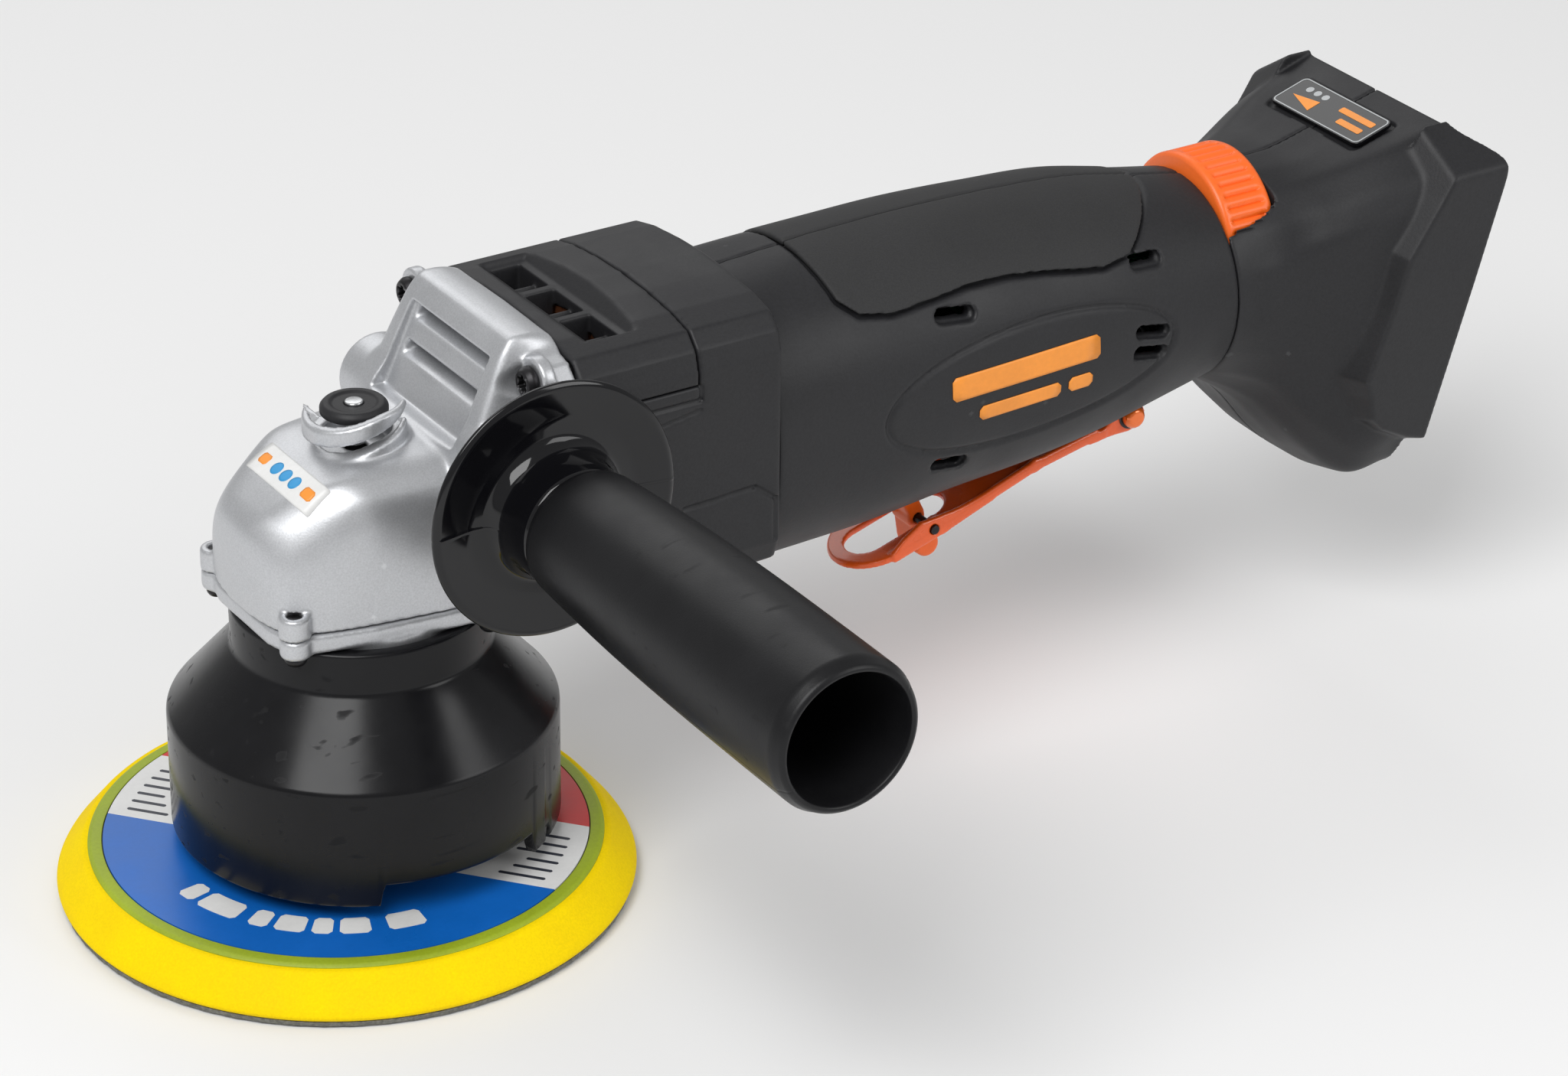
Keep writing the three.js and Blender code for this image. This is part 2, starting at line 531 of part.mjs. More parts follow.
place(motor, 'armature_shaft', turned([
  [0, 11], [PINION_BORE_R, 11], [PINION_BORE_R, 22], [SHAFT_R, 22], [SHAFT_R, SEAT_X + 12], [0, SEAT_X + 12],
], 20), STEEL);
place(head, 'motor_bearing_front',
  alongX(ring(SHAFT_R + RUN, FRONT_BEARING_R, 24, 32, 24), 0, 0, AXIS_Z), STEEL);
const fanBlade = (i) => block(5, 22.4, -0.8, 0.8, 42.5, 47.4).rotate([0, 0, i * 40]);
place(motor, 'fan', minus(
  union(ring(0, 23, 41, 42.8, 36), ring(0, 7, 41, 48, 24),
    ...Array.from({ length: 9 }, (_, i) => fanBlade(i))),
  ring(0, SHAFT_R + RUN, 30, 60, 20),
), BLACK);
const slotCut = (i) => block(11.8, 15.8, -0.7, 0.7, CORE_FRONT - 5, CORE_BACK + 5).rotate([0, 0, i * 30]);
place(motor, 'armature_core', minus(
  ring(SHAFT_R + RUN, CORE_R, CORE_FRONT, CORE_BACK, 36),
  ...Array.from({ length: 12 }, (_, i) => slotCut(i)),
), DARK_STEEL);
place(motor, 'commutator', ring(SHAFT_R + RUN, COMMUTATOR_R, BRUSH_X - 2.5, BRUSH_X + 9.5, 32), COPPER);

// The field stack and its windings stay with the housing.
place(head, 'stator', alongX(minus(
  ring(CORE_R + 0.7, STATOR_R, CORE_FRONT, CORE_BACK, 40),
  ring(0, 18.5, CORE_FRONT - 2, CORE_BACK + 3, 4).rotate([0, 0, 45])
    .intersect(ring(0, 24, CORE_FRONT - 2, CORE_BACK + 3, 40)),
), 0, 0, AXIS_Z), COPPER_RED);

// --------------------------------------------------------------- field case
const body = group('body');
const fieldSolid = prismX(fieldOutline(), FLANGE_BACK + GAP, FIELD_BACK);
const coverZone = block(0, COVER_BACK, -60, 60, COVER_LOW, 200);
place(body, 'field_case', minus(
  fieldSolid,
  block(0, COVER_BACK + GAP, -60, 60, COVER_LOW - GAP, 200),
  rodX(STATOR_R + 0.15, 51.5, FIELD_BACK + 1, 0, AXIS_Z, 40), rodX(25, 30, 52, 0, AXIS_Z, 40),
  ...headHoles,
  // Snap tab outline and the line of the lower cover, on both sides.
  ...[-1, 1].flatMap((side) => [
    block(49.5, 65.5, side * FIELD_W - 0.7, side * FIELD_W + 0.7, 108, 108.8),
    block(64.8, 65.6, side * FIELD_W - 0.7, side * FIELD_W + 0.7, 108, COVER_LOW),
    block(60.5, 82, side * FIELD_W - 0.7, side * FIELD_W + 0.7, 83.4, 84.2),
  ]),
), BLACK);
const windowCuts = [-14.8, 0, 14.8].map((y) => block(44.2, 51.4, y - 6.2, y + 6.2, 100, 140));
place(body, 'vent_cover', minus(
  fieldSolid.intersect(coverZone),
  rodX(STATOR_R + 0.4, 51.5, FIELD_BACK, 0, AXIS_Z, 40), rodX(25, 30, 52, 0, AXIS_Z, 40),
  ...windowCuts, ...headHoles,
  hull([[38.5, -23.5, 140], [38.5, 23.5, 140], [58, -23.5, 140], [58, 23.5, 140],
    [42.5, -22, 122.4], [42.5, 22, 122.4], [52.6, -22, 122.4], [52.6, 22, 122.4]]),
), BLACK);

// --------------------------------------------------------------------- grip
// Sections along the grip, each at its share of the length: half width, half height, centre height,
// squareness of the outline and height of the flat belly.
const GRIP = [
  { share: 0, w: 30.2, h: 33.6, z: 88.4, n: 2.4, belly: 54.5 },
  { share: 0.118, w: 30, h: 34.2, z: 88.8, n: 2.3, belly: 55 },
  { share: 0.26, w: 29.8, h: 34.5, z: 89.3, n: 2.2, belly: 57.6 },
  { share: 0.418, w: 29.4, h: 33.6, z: 90.4, n: 2.2, belly: 59.4 },
  { share: 0.592, w: 28.8, h: 32.8, z: 90.6, n: 2.1, belly: 61 },
  { share: 0.75, w: 28, h: 30.6, z: 91.2, n: 2.1, belly: 62.8 },
  { share: 0.885, w: 26.4, h: 27.4, z: 91.1, n: 2, belly: 64.3 },
  { share: 1, w: 24.4, h: 24.6, z: 91.2, n: 2, belly: 66.6 },
].map((section) => ({ ...section, x: GRIP_FRONT + section.share * (GRIP_BACK - GRIP_FRONT) }));
const RING_POINTS = 30;
// One closed section of the grip, grown by a margin.
function gripRing({ x, w, h, z, n, belly }, grow) {
  return Array.from({ length: RING_POINTS }, (_, i) => {
    const t = (i + 0.5) * 2 * Math.PI / RING_POINTS;
    const [c, s] = [Math.cos(t), Math.sin(t)];
    const bend = (v) => Math.sign(v) * Math.abs(v) ** (2 / n);
    return [x, (w + grow) * bend(c), Math.max(z + (h + grow) * bend(s), belly - grow)];
  });
}
// The grip's outside grown by a margin, a little longer than the grip at both ends.
const longer = (grow) => {
  const first = gripRing({ ...GRIP[0], x: GRIP[0].x - 2 }, grow);
  const last = gripRing({ ...GRIP[GRIP.length - 1], x: GRIP_BACK + 2 }, grow);
  return skin([first, ...GRIP.map((section) => gripRing(section, grow)), last]);
};

const rubberOutline = [
  ...[[20, 140], [19.6, 122], [21, 116.6], [25, 113.6], [33, 112.3], [53, 113.9]]
    .map(([x, z]) => [FIELD_BACK + x, z]),
  ...[[53.6, 112.4], [37.6, 110], [29.6, 110.8], [23.6, 114.2], [18.6, 117], [13.6, 119], [12.6, 140]]
    .map(([x, z]) => [GRIP_BACK - x, z]),
];
const rubberZone = (grow) => {
  const mid = [(FIELD_BACK + GRIP_BACK) / 2, 125];
  return prismY(rubberOutline.map(([x, z]) => [
    x + Math.sign(x - mid[0]) * grow, z + Math.sign(z - mid[1]) * grow,
  ]), -40, 40);
};
const RUBBER_T = 1.2;
const rubberSkin = longer(0.35).subtract(longer(-RUBBER_T));

// Room for the lock-off tab's arm while the lever is squeezed.
const leverPocket = block(TAB_PIVOT_X - 13.4, TAB_PIVOT_X + 7.6, -TAB_W - 2, TAB_W + 2, 50, 70);
const plungerHole = ring(0, PLUNGER_R + GAP, 50, 75, 16).translate([PLUNGER_X, 0, 0]);
const pinLug = rodY(4.6, -LEVER_W + SHEET + 0.4, LEVER_W - SHEET - 0.4, LEVER_X, LEVER_Z, 20);
const pinHole = rodY(LEVER_PIN_R + RUN, -20, 20, LEVER_X, LEVER_Z, 20);
const earSlots = [-1, 1].map((side) => {
  const [y0, y1] = [side * 16, side * (LEVER_W - SHEET - 0.4)].sort((a, b) => a - b);
  return rodY(4.8, y0, y1, LEVER_X, LEVER_Z, 20);
});
const clampScrews = [[FIELD_BACK + 39, 71], [LEVER_X - 17, 74], [GRIP_BACK - 13.6, 108]];
const boss = ([x, z]) => rodY(4, -40, 40, x, z, 12);
const SCREW_SEAT_Y = 19; // underside of the shell screws' heads
const boreEnd = SCREW_SEAT_Y - SHELL_SCREW.length - GAP;
const bossBore = ([x, z]) => rodY(SHELL_SCREW.hole, boreEnd, 40, x, z, 12);
const headPocket = ([x, z]) => rodY(SHELL_SCREW.head + 0.4, SCREW_SEAT_Y, 40, x, z, 12);
const ovalVent = (x, z, length, tilt) => union(
  rodY(1.6, -60, 60, 0, 0, 8).translate([-length / 2, 0, 0]),
  rodY(1.6, -60, 60, 0, 0, 8).translate([length / 2, 0, 0]),
  block(-length / 2, length / 2, -60, 60, -1.6, 1.6),
).rotate([0, tilt, 0]).translate([x, 0, z]);
const vents = [
  ovalVent(FIELD_BACK + 48, 109, 7, 6), ovalVent(FIELD_BACK + 46.5, 74.4, 7, 10),
  ovalVent(GRIP_BACK - 25.6, 108.4, 6, 6), ovalVent(GRIP_BACK - 26, 93, 7, 12),
  ovalVent(GRIP_BACK - 26.4, 88, 7, 12),
];
const gripWall = longer(0).subtract(longer(-WALL))
  .intersect(block(FIELD_BACK + GAP, GRIP_BACK, -60, 60, 0, 200));
const gripBosses = union(...clampScrews.map(boss)).intersect(longer(-1));
const rearSeat = rodX(REAR_BEARING_R + 4, SEAT_X, SEAT_X + 8, 0, AXIS_Z, 24)
  .add(block(SEAT_X + 1, SEAT_X + 7, -30, 30, AXIS_Z - 3, AXIS_Z + 3)).intersect(longer(-1));
const gripFull = minus(
  union(gripWall, gripBosses, rearSeat, pinLug),
  ...earSlots, pinHole, rubberSkinRoom(), rodX(REAR_BEARING_R + RUN, SEAT_X - 14, SEAT_X + 16, 0, AXIS_Z, 24),
  leverPocket, plungerHole,
  ...clampScrews.map(bossBore), ...clampScrews.map(headPocket), ...vents,
);
// The rubber's seat: the same skin and outline, opened by the clearance.
function rubberSkinRoom() {
  return rubberZone(0.2).intersect(longer(4).subtract(longer(-RUBBER_T - 0.15)));
}
for (const [name, side] of [['grip_shell_left', 1], ['grip_shell_right', -1]]) {
  place(body, name, half(gripFull, side), BLACK);
}
for (const [name, side] of [['grip_rubber_left', 1], ['grip_rubber_right', -1]]) {
  place(body, name, half(rubberSkin.intersect(rubberZone(0)), side), RUBBER);
}
place(body, 'motor_bearing_rear',
  alongX(ring(SHAFT_R + RUN, REAR_BEARING_R, SEAT_X + 0.5, SEAT_X + 7.5, 24), 0, 0, AXIS_Z), STEEL);
clampScrews.forEach(([x, z], i) => {
  const mesh = place(body, `shell_screw_${i + 1}`, screw(SHELL_SCREW), DARK_STEEL,
    [x, SCREW_SEAT_Y, z]);
  mesh.rotation.x = -Math.PI / 2;
});
for (const [name, side] of [['brush_left', 1], ['brush_right', -1]]) {
  const [y0, y1] = side > 0 ? [COMMUTATOR_R + RUN, 21] : [-21, -COMMUTATOR_R - RUN];
  place(body, name, block(BRUSH_X, BRUSH_X + 7, y0, y1, AXIS_Z - 3, AXIS_Z + 3), DARK_STEEL);
}

// ---------------------------------------------------------------- rear foot
// Half sections of the foot, from the top centre line down to the bottom centre line.
// Their X is counted from the circular seam.
const FOOT_START = GRIP_BACK + GAP;
const roundHalf = (x, r, z) => Array.from({ length: 11 }, (_, i) => {
  const t = Math.PI * (0.5 - i / 10);
  return [x, r * Math.cos(t), z + r * Math.sin(t)];
});
const FOOT = [
  roundHalf(FOOT_START, 24.4, 91.2),
  ...[
    [
      [14.4, 0, 116.1], [14.4, 8, 115.6], [14.4, 15, 112.8], [14.4, 20.5, 107.4], [14.4, 24.2, 99],
      [14.4, 24.8, 90], [14.4, 24.2, 77], [14.4, 21.5, 67], [14.4, 15, 60], [14.4, 8, 57.6], [14.4, 0, 57],
    ],
    [
      [24.4, 0, 116.4], [24.4, 9, 116], [24.4, 17, 114.6], [24.4, 24, 110], [23.4, 28, 104], [22.9, 28.4, 90],
      [22.9, 28.6, 74], [22.9, 28.4, 58], [24, 23.5, 48.6], [24.4, 11, 45.6], [24.4, 0, 45.2],
    ],
    [
      [38.4, 0, 119.6], [38.4, 11, 119.5], [38.4, 22, 119.2], [40.4, 30, 114.4], [40.4, 32.4, 108],
      [37.4, 32.6, 90], [34.4, 32.8, 70], [31.4, 32.6, 54], [31.4, 28, 43.6], [32, 13, 39.6], [32, 0, 39.2],
    ],
    [
      [REAR_TOP, 0, REAR_TOP_Z], [REAR_TOP, 13, REAR_TOP_Z], [REAR_TOP, 26.5, REAR_TOP_Z],
      [65.4, 36.6, 117.6], [65.8, FOOT_W, 113], [58.4, FOOT_W, 90], [51, FOOT_W, 68],
      [45.8, FOOT_W - 1.4, 53], [42.8, 33.4, 44.4], [41.4, 14, 40], [41.4, 0, 39.6],
    ],
  ].map((section) => section.map(([x, y, z]) => [GRIP_BACK + x, y, z])),
];
const closeRing = (points, inset) => {
  const middle = points.reduce((s, [, , z]) => s + z / points.length, 0);
  const shrink = ([x, y, z]) => {
    const f = 1 - inset / Math.max(Math.hypot(y, z - middle), 10);
    return [x, y * f, middle + (z - middle) * f];
  };
  const right = points.map(shrink);
  const left = right.slice(1, -1).reverse().map(([x, y, z]) => [x, -y, z]);
  return [...right, ...left];
};
const footSkin = (inset, stretch = 0) => {
  const rings = FOOT.map((section) => closeRing(section, inset));
  const shift = (r, d) => r.map(([x, y, z]) => [x + d, y, z]);
  if (stretch > 0) {
    return skin([shift(rings[0], -stretch), ...rings, shift(rings[rings.length - 1], stretch)]);
  }
  return skin(rings);
};
const slant = (z) => GRIP_BACK + 45 + (z - 50) * 0.33; // the battery mating plane, x at height z
const dialRoom = rodX(DIAL_R + 0.6, GRIP_BACK, DIAL_X + DIAL_T + 0.4, 0, DIAL_Z, 40);
// A body between two planes parallel to the mating plane, at distances from it along X.
const slanted = (near, far, y0, y1, z0, z1) => hull([z0, z1].flatMap((z) =>
  [y0, y1].flatMap((y) => [[slant(z) + near, y, z], [slant(z) + far, y, z]])));
const footFloor = slanted(-17, -14.5, -34, 34, 46, 112).intersect(footSkin(1));
const railPair = [[24, 32], [-32, -24]].map(([y0, y1]) =>
  slanted(-15, -6, y0, y1, 56, 104).intersect(footSkin(1)));
const footFull = minus(
  union(footSkin(0).subtract(footSkin(WALL + 0.4, 4)), footFloor, ...railPair),
  block(slant(80) - 26, slant(80) - 8, -19, 19, 70, 92),
  dialRoom, block(DISPLAY_X - 6.3, DISPLAY_X + 6.5, -16.4, 16.4, 100, 130).subtract(footSkin(0.9, 4)),
);
for (const [name, side] of [['foot_left', 1], ['foot_right', -1]]) {
  place(body, name, half(footFull, side), BLACK);
}

// ------------------------------------------------- battery contact and dial
place(body, 'terminal_block', slanted(-26, -12, -18, 18, 72, 90), BLACK);
[-11, 11].forEach((y, i) => {
  place(body, `terminal_${i + 1}`, slanted(-12, -2, y - 0.5, y + 0.5, 74, 88), STEEL, [GAP, 0, 0]);
});
// Charge display plate, seated in the foot's sloping top.
const display = place(body, 'charge_display', block(-5.6, 5.6, -16, 16, -0.6, 0.5), GLOSS,
  [DISPLAY_X, 0, 121.3]);
display.rotation.y = -0.3;

// Board with the potentiometer whose shaft carries the speed dial.
place(body, 'control_board', union(
  block(GRIP_BACK - 61.6, GRIP_BACK - 21.6, -14, 14, 96, 97.6),
  block(GRIP_BACK - 23.6, GRIP_BACK - 3.6, -6, 6, 94, 102),
  rodX(DIAL_BORE, GRIP_BACK - 4.6, DIAL_X + DIAL_T - 2, 0, DIAL_Z, 20),
), BOARD);

const dial = group('dial', body);
dial.position.set(DIAL_X, 0, DIAL_Z);
dial.rotation.y = Math.PI / 2;
const RIBS = 40;
const dialOutline = Array.from({ length: RIBS * 3 }, (_, i) => {
  const angle = 2 * Math.PI * i / (RIBS * 3);
  const r = i % 3 === 0 ? DIAL_R : DIAL_R - 0.5;
  return [r * Math.cos(angle), r * Math.sin(angle)];
});
place(dial, 'speed_dial', minus(
  prismZ(dialOutline, 0, DIAL_T), ring(0, DIAL_BORE + RUN, -1, 20, 20),
), ORANGE);

// -------------------------------------------------------------------- lever
const lever = group('lever_set');
lever.position.set(LEVER_X, 0, LEVER_Z);
// Side view in the lever's own frame: the pivot is the origin and -X runs forwards.
const LEVER_REAR = [-8, -2.4]; // top of the sheet at its rear end
const LEVER_BEND = [-26, -6.2]; // where its slope first changes
const LEVER_KNEE = [-51, -14.8]; // where its slope changes again
const LEVER_NOSE = [-73, -21.4]; // top of the sheet at the rounded front end
const sheetBetween = ([x0, z0], [x1, z1], w) => hull(bothSides([
  [x0, w, z0], [x1, w, z1], [x0, w, z0 - SHEET], [x1, w, z1 - SHEET],
]));
const noseTip = hull(bothSides([
  [LEVER_NOSE[0], LEVER_W * 0.35, LEVER_NOSE[1]],
  [LEVER_NOSE[0] + 2.2, LEVER_W * 0.78, LEVER_NOSE[1] + 0.6],
  [LEVER_NOSE[0] + 7, LEVER_W, LEVER_NOSE[1] + 1.9],
]).flatMap(([x, y, z]) => [[x, y, z], [x, y, z - SHEET]]));
const TAB_X = TAB_PIVOT_X - LEVER_X; // lock-off tab pivot in the lever's frame
const TAB_Z = TAB_PIVOT_Z - LEVER_Z;
const frontEar = [
  [-38, -10.4], [-54, -12.4], [-57, -12.6], [-64.6, -18.4], [-64, -20.6], [-50, -16.2], [-38, -11.4],
];
const pivotEar = [
  [-9, -2.5], [-4.1, 0], [-3, 2.8], [0, 4.1], [3, 2.8], [4.1, 0], [3, -3], [-1, -4.1], [-9, -4],
];
const ears = [frontEar, pivotEar].flatMap((outline) => [
  prismY(outline, LEVER_W - SHEET, LEVER_W), prismY(outline, -LEVER_W, -LEVER_W + SHEET),
]);
const leverBody = minus(
  union(
    sheetBetween(LEVER_REAR, LEVER_BEND, LEVER_W), sheetBetween(LEVER_BEND, LEVER_KNEE, LEVER_W),
    sheetBetween(LEVER_KNEE, [LEVER_NOSE[0] + 7, LEVER_NOSE[1] + 1.9], LEVER_W), noseTip, ...ears,
  ),
  rodY(LEVER_PIN_R + RUN, -20, 20, 0, 0, 20), rodY(TAB_PIN_R + RUN, -20, 20, TAB_X, TAB_Z, 12),
  block(-70, -45.5, -TAB_W - 1, TAB_W + 1, -30, -2),
);
place(lever, 'lever', leverBody, ORANGE);
const PIN_END = LEVER_W + 2.1; // inner face of the pivot pin's cap
place(body, 'lever_pin', union(
  rodY(LEVER_PIN_R, -PIN_END, LEVER_W + 2, LEVER_X, LEVER_Z, 20),
  rodY(LEVER_PIN_R + 0.7, -PIN_END - 0.6, -LEVER_W - GAP, LEVER_X, LEVER_Z, 20),
), ORANGE);

const tab = group('lock_off', lever);
tab.position.set(TAB_X, 0, TAB_Z);
// The tab's upper arm stands under the grip, and its round thumb rest hangs through the lever's slot.
place(tab, 'lock_tab', minus(
  union(
    prismY([[-5.6, 7.4], [-1, 7.6], [1.8, 1.6], [1.6, -1.6], [-1.8, -1.6], [-2.4, 1]], -TAB_W, TAB_W),
    rodY(TAB_PIN_R + 1, -TAB_W, TAB_W, 0, 0, 12),
    prismY([[-1.6, -1], [1.7, -1], [3.4, -4], [5.6, -6.2], [6, -8.4], [4.6, -10.4], [2, -10.8], [0, -9.6],
      [-0.6, -7]], -TAB_W, TAB_W),
  ),
  rodY(TAB_PIN_R + RUN, -20, 20, 0, 0, 12),
), ORANGE);
place(lever, 'lock_tab_pin', rodY(TAB_PIN_R, -LEVER_W - 0.5, LEVER_W + 0.5, TAB_X, TAB_Z, 12), DARK_STEEL);

// Switch inside the grip, worked by the lever through its plunger.
const switchSet = group('switch');
place(body, 'switch_body', minus(
  block(PLUNGER_X - 10, PLUNGER_X + 16, -8, 8, 68, 84),
  ring(0, PLUNGER_R + RUN, 60, 78, 16).translate([PLUNGER_X, 0, 0]),
), BLACK);
place(switchSet, 'switch_plunger', ring(0, PLUNGER_R, 55, 72, 16), GLOSS, [PLUNGER_X, 0, 0]);

// -------------------------------------------------------------- side handle
const side = group('side_handle');
side.position.set(HANDLE_X, -BOSS_Y, HANDLE_Z);
side.rotation.x = Math.PI / 2;
// In this group +Z runs outwards along the handle, from the boss face.
place(side, 'handle_stud', ring(0, STUD_R, -14, 33, 20), STEEL);
const FLANGE_AT = 14.6; // guard flange rim from the boss face
place(side, 'handle_flange', turned([
  [STUD_R + RUN, GAP], [11, GAP], [12.4, 3], [14, 8], [17, 11], [HANDLE_FLANGE_R - 1, FLANGE_AT - 1.4],
  [HANDLE_FLANGE_R, FLANGE_AT - 0.6], [HANDLE_FLANGE_R, FLANGE_AT], [HANDLE_FLANGE_R - 2, FLANGE_AT + 0.6],
  [17.4, 13.6], [14.6, 15.2], [13.4, 18], [13.2, 26], [TUBE_R, 26], [TUBE_R, 34], [STUD_R + RUN, 34],
  [STUD_R + RUN, GAP],
], 36), GLOSS);
const END = HANDLE_END - BOSS_Y;
place(side, 'handle_grip', turned([
  [TUBE_R + RUN, 26 + GAP], [13.8, 26 + GAP], [14.2, 27], [14.6, 38], [15.6, 56], [16.1, 76], [HANDLE_R, 100],
  [HANDLE_R, END - 3], [HANDLE_R - 0.8, END - 0.8], [HANDLE_R - 2, END], [13.7, END - 0.6],
  [13.4, 60], [TUBE_R + RUN, 52], [TUBE_R + RUN, 26 + GAP],
], 36), BLACK);

export default sander;
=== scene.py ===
"""Looks of the cordless orbital sander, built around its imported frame.

Lengths in this script are in millimetres, in the frame's own axes, and become metres where a mesh is made.
Cast and moulded shells are described as distance fields, with rounded joins, and meshed on a fine grid.
"""
import json
import math
from contextlib import contextmanager

import bmesh
import bpy
import numpy as np
from mathutils import Matrix, Vector
from mathutils.bvhtree import BVHTree


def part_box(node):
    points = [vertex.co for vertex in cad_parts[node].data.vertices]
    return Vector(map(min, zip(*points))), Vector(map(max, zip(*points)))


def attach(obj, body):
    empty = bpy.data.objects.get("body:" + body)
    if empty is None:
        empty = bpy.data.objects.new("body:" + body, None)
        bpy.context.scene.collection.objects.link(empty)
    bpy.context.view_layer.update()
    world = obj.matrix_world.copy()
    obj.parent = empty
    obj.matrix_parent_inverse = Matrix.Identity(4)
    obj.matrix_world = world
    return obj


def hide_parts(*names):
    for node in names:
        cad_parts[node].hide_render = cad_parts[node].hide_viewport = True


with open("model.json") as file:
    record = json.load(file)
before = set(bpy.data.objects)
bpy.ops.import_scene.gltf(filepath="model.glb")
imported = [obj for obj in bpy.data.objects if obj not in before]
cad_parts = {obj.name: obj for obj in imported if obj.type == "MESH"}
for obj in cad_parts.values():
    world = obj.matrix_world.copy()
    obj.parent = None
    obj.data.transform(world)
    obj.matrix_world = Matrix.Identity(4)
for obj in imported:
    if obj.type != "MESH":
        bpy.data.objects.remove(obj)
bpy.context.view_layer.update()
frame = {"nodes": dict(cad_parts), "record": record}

MM = 0.001
TAU = 2 * math.pi


# ------------------------------------------------------------- frame sizes
def corners(node):
    """Lowest and highest corner of a CAD node, in millimetres."""
    low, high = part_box(node)
    return np.array(low) / MM, np.array(high) / MM


def middle(node):
    low, high = corners(node)
    return (low + high) / 2


AXIS_Z = middle("armature_shaft")[2]
PAD_X = middle("pad_foam")[0]
PAD_R = (corners("pad_foam")[1] - corners("pad_foam")[0])[0] / 2
LABEL_R = (corners("pad_label")[1] - corners("pad_label")[0])[0] / 2
LABEL_Z = corners("pad_label")[1][2]
FOAM_LOW, FOAM_TOP = corners("pad_foam")[0][2], corners("pad_foam")[1][2]
SKIRT_R = corners("shroud")[1][0]
SKIRT_LOW, NECK_TOP = corners("shroud")[0][2], corners("shroud")[1][2]
PLATE_LOW, PLATE_HIGH = 67.0, 71.3
CASE_BOTTOM = 71.6
FLANGE_BACK = corners("gear_case")[1][0]
BOSS_Y = 31.0
BOSS_R = 9.0
HANDLE_X, HANDLE_Z = middle("handle_stud")[0], middle("handle_stud")[2]
HANDLE_END = -corners("handle_grip")[0][1]
FIELD_FRONT, FIELD_BACK = corners("field_case")[0][0], corners("field_case")[1][0]
FIELD_W = corners("field_case")[1][1]
FIELD_LOW, FIELD_HIGH = corners("field_case")[0][2], corners("field_case")[1][2] + 0.5
COVER_BACK = corners("vent_cover")[1][0]
COVER_LOW = corners("vent_cover")[0][2]
GRIP_FRONT, GRIP_BACK = corners("grip_shell_left")[0][0], corners("grip_shell_left")[1][0]
SCREW_Y = middle("head_screw_1")[1]
SCREW_HIGH, SCREW_LOW = middle("head_screw_1")[2], middle("head_screw_3")[2]
LEVER_X, LEVER_Z = middle("lever_pin")[0], middle("lever_pin")[2]
LEVER_W = corners("lever")[1][1]
TAB_X, TAB_Z = middle("lock_tab_pin")[0], middle("lock_tab_pin")[2]
DIAL_LOW, DIAL_HIGH = corners("speed_dial")
DIAL_Z = middle("speed_dial")[2]
DIAL_R = (DIAL_HIGH[2] - DIAL_LOW[2]) / 2
SHELL_SCREWS = [tuple(middle(f"shell_screw_{i}")[[0, 2]]) for i in (1, 2, 3)]
HALF_SEAM = 0.2  # from the centre plane to either half of the grip and foot
BEARING_SEAT_R, HANDLE_BORE_R = 13.05, 4.25
HEAD_HOLE_R, PLATE_HOLE_R, TAB_HOLE_R = 2.2, 1.7, 1.16
STEP, LEVER_STEP, TAB_STEP = 0.5, 0.35, 0.3  # grid steps of the castings and mouldings, lever and tab
WELD = 1e-7  # points of a mesh closer than this, in metres, become one


# ------------------------------------------------------------ distance fields
def smooth_min(a, b, k):
    """Union of two fields with a fillet of about k."""
    h = np.maximum(k - np.abs(a - b), 0)
    return np.minimum(a, b) - h * h / (4 * k)


def smooth_max(a, b, k):
    """Intersection of two fields with a rounded edge of about k."""
    return -smooth_min(-a, -b, k)


def cut(body, hole, k=0.5):
    return smooth_max(body, -hole, k)


def slab(value, low, high):
    return np.maximum(low - value, value - high)


def box_field(x, y, z, low, high, k=0.5):
    field = smooth_max(slab(x, low[0], high[0]), slab(y, low[1], high[1]), k)
    return smooth_max(field, slab(z, low[2], high[2]), k)


def rod_field(u, v, w, radius, low, high, k=0.4):
    """Cylinder of a radius about the w axis, from low to high."""
    return smooth_max(np.hypot(u, v) - radius, slab(w, low, high), k)


def outline_field(u, v, points):
    """Signed distance to a closed outline in one plane."""
    points = np.asarray(points, float)
    nearest = None
    inside = None
    for (ax, ay), (bx, by) in zip(points, np.roll(points, -1, axis=0)):
        ex, ey = bx - ax, by - ay
        t = np.clip(((u - ax) * ex + (v - ay) * ey) / (ex * ex + ey * ey), 0, 1)
        gap = np.hypot(u - ax - t * ex, v - ay - t * ey)
        crosses = ((ay > v) != (by > v)) & (u < ex * (v - ay) / (ey or 1e-9) + ax)
        nearest = gap if nearest is None else np.minimum(nearest, gap)
        inside = crosses if inside is None else inside ^ crosses
    return np.where(inside, -nearest, nearest)


def hull_field(x, y, z, points, k):
    """Convex body through the points, its edges rounded by about k."""
    bm = bmesh.new()
    for point in points:
        bm.verts.new(point)
    bmesh.ops.convex_hull(bm, input=bm.verts)
    planes = {}
    for face in bm.faces:
        n = face.normal
        d = n.dot(face.verts[0].co)
        planes[tuple(round(c, 2) for c in (*n, d))] = (n.copy(), d)
    bm.free()
    field = None
    for n, d in planes.values():
        side = (n.x * x + n.y * y) + (n.z * z - d)
        field = side if field is None else smooth_max(field, side, k)
    return field


def both_sides(points):
    return points + [(x, -y, z) for x, y, z in points]


def grid(low, high, step):
    """Grid coordinates that cover a box, ready for broadcasting."""
    axes = [np.arange(a - 1.5 * step, b + 2 * step, step, dtype=np.float32) for a, b in zip(low, high)]
    return axes[0][:, None, None], axes[1][None, :, None], axes[2][None, None, :]


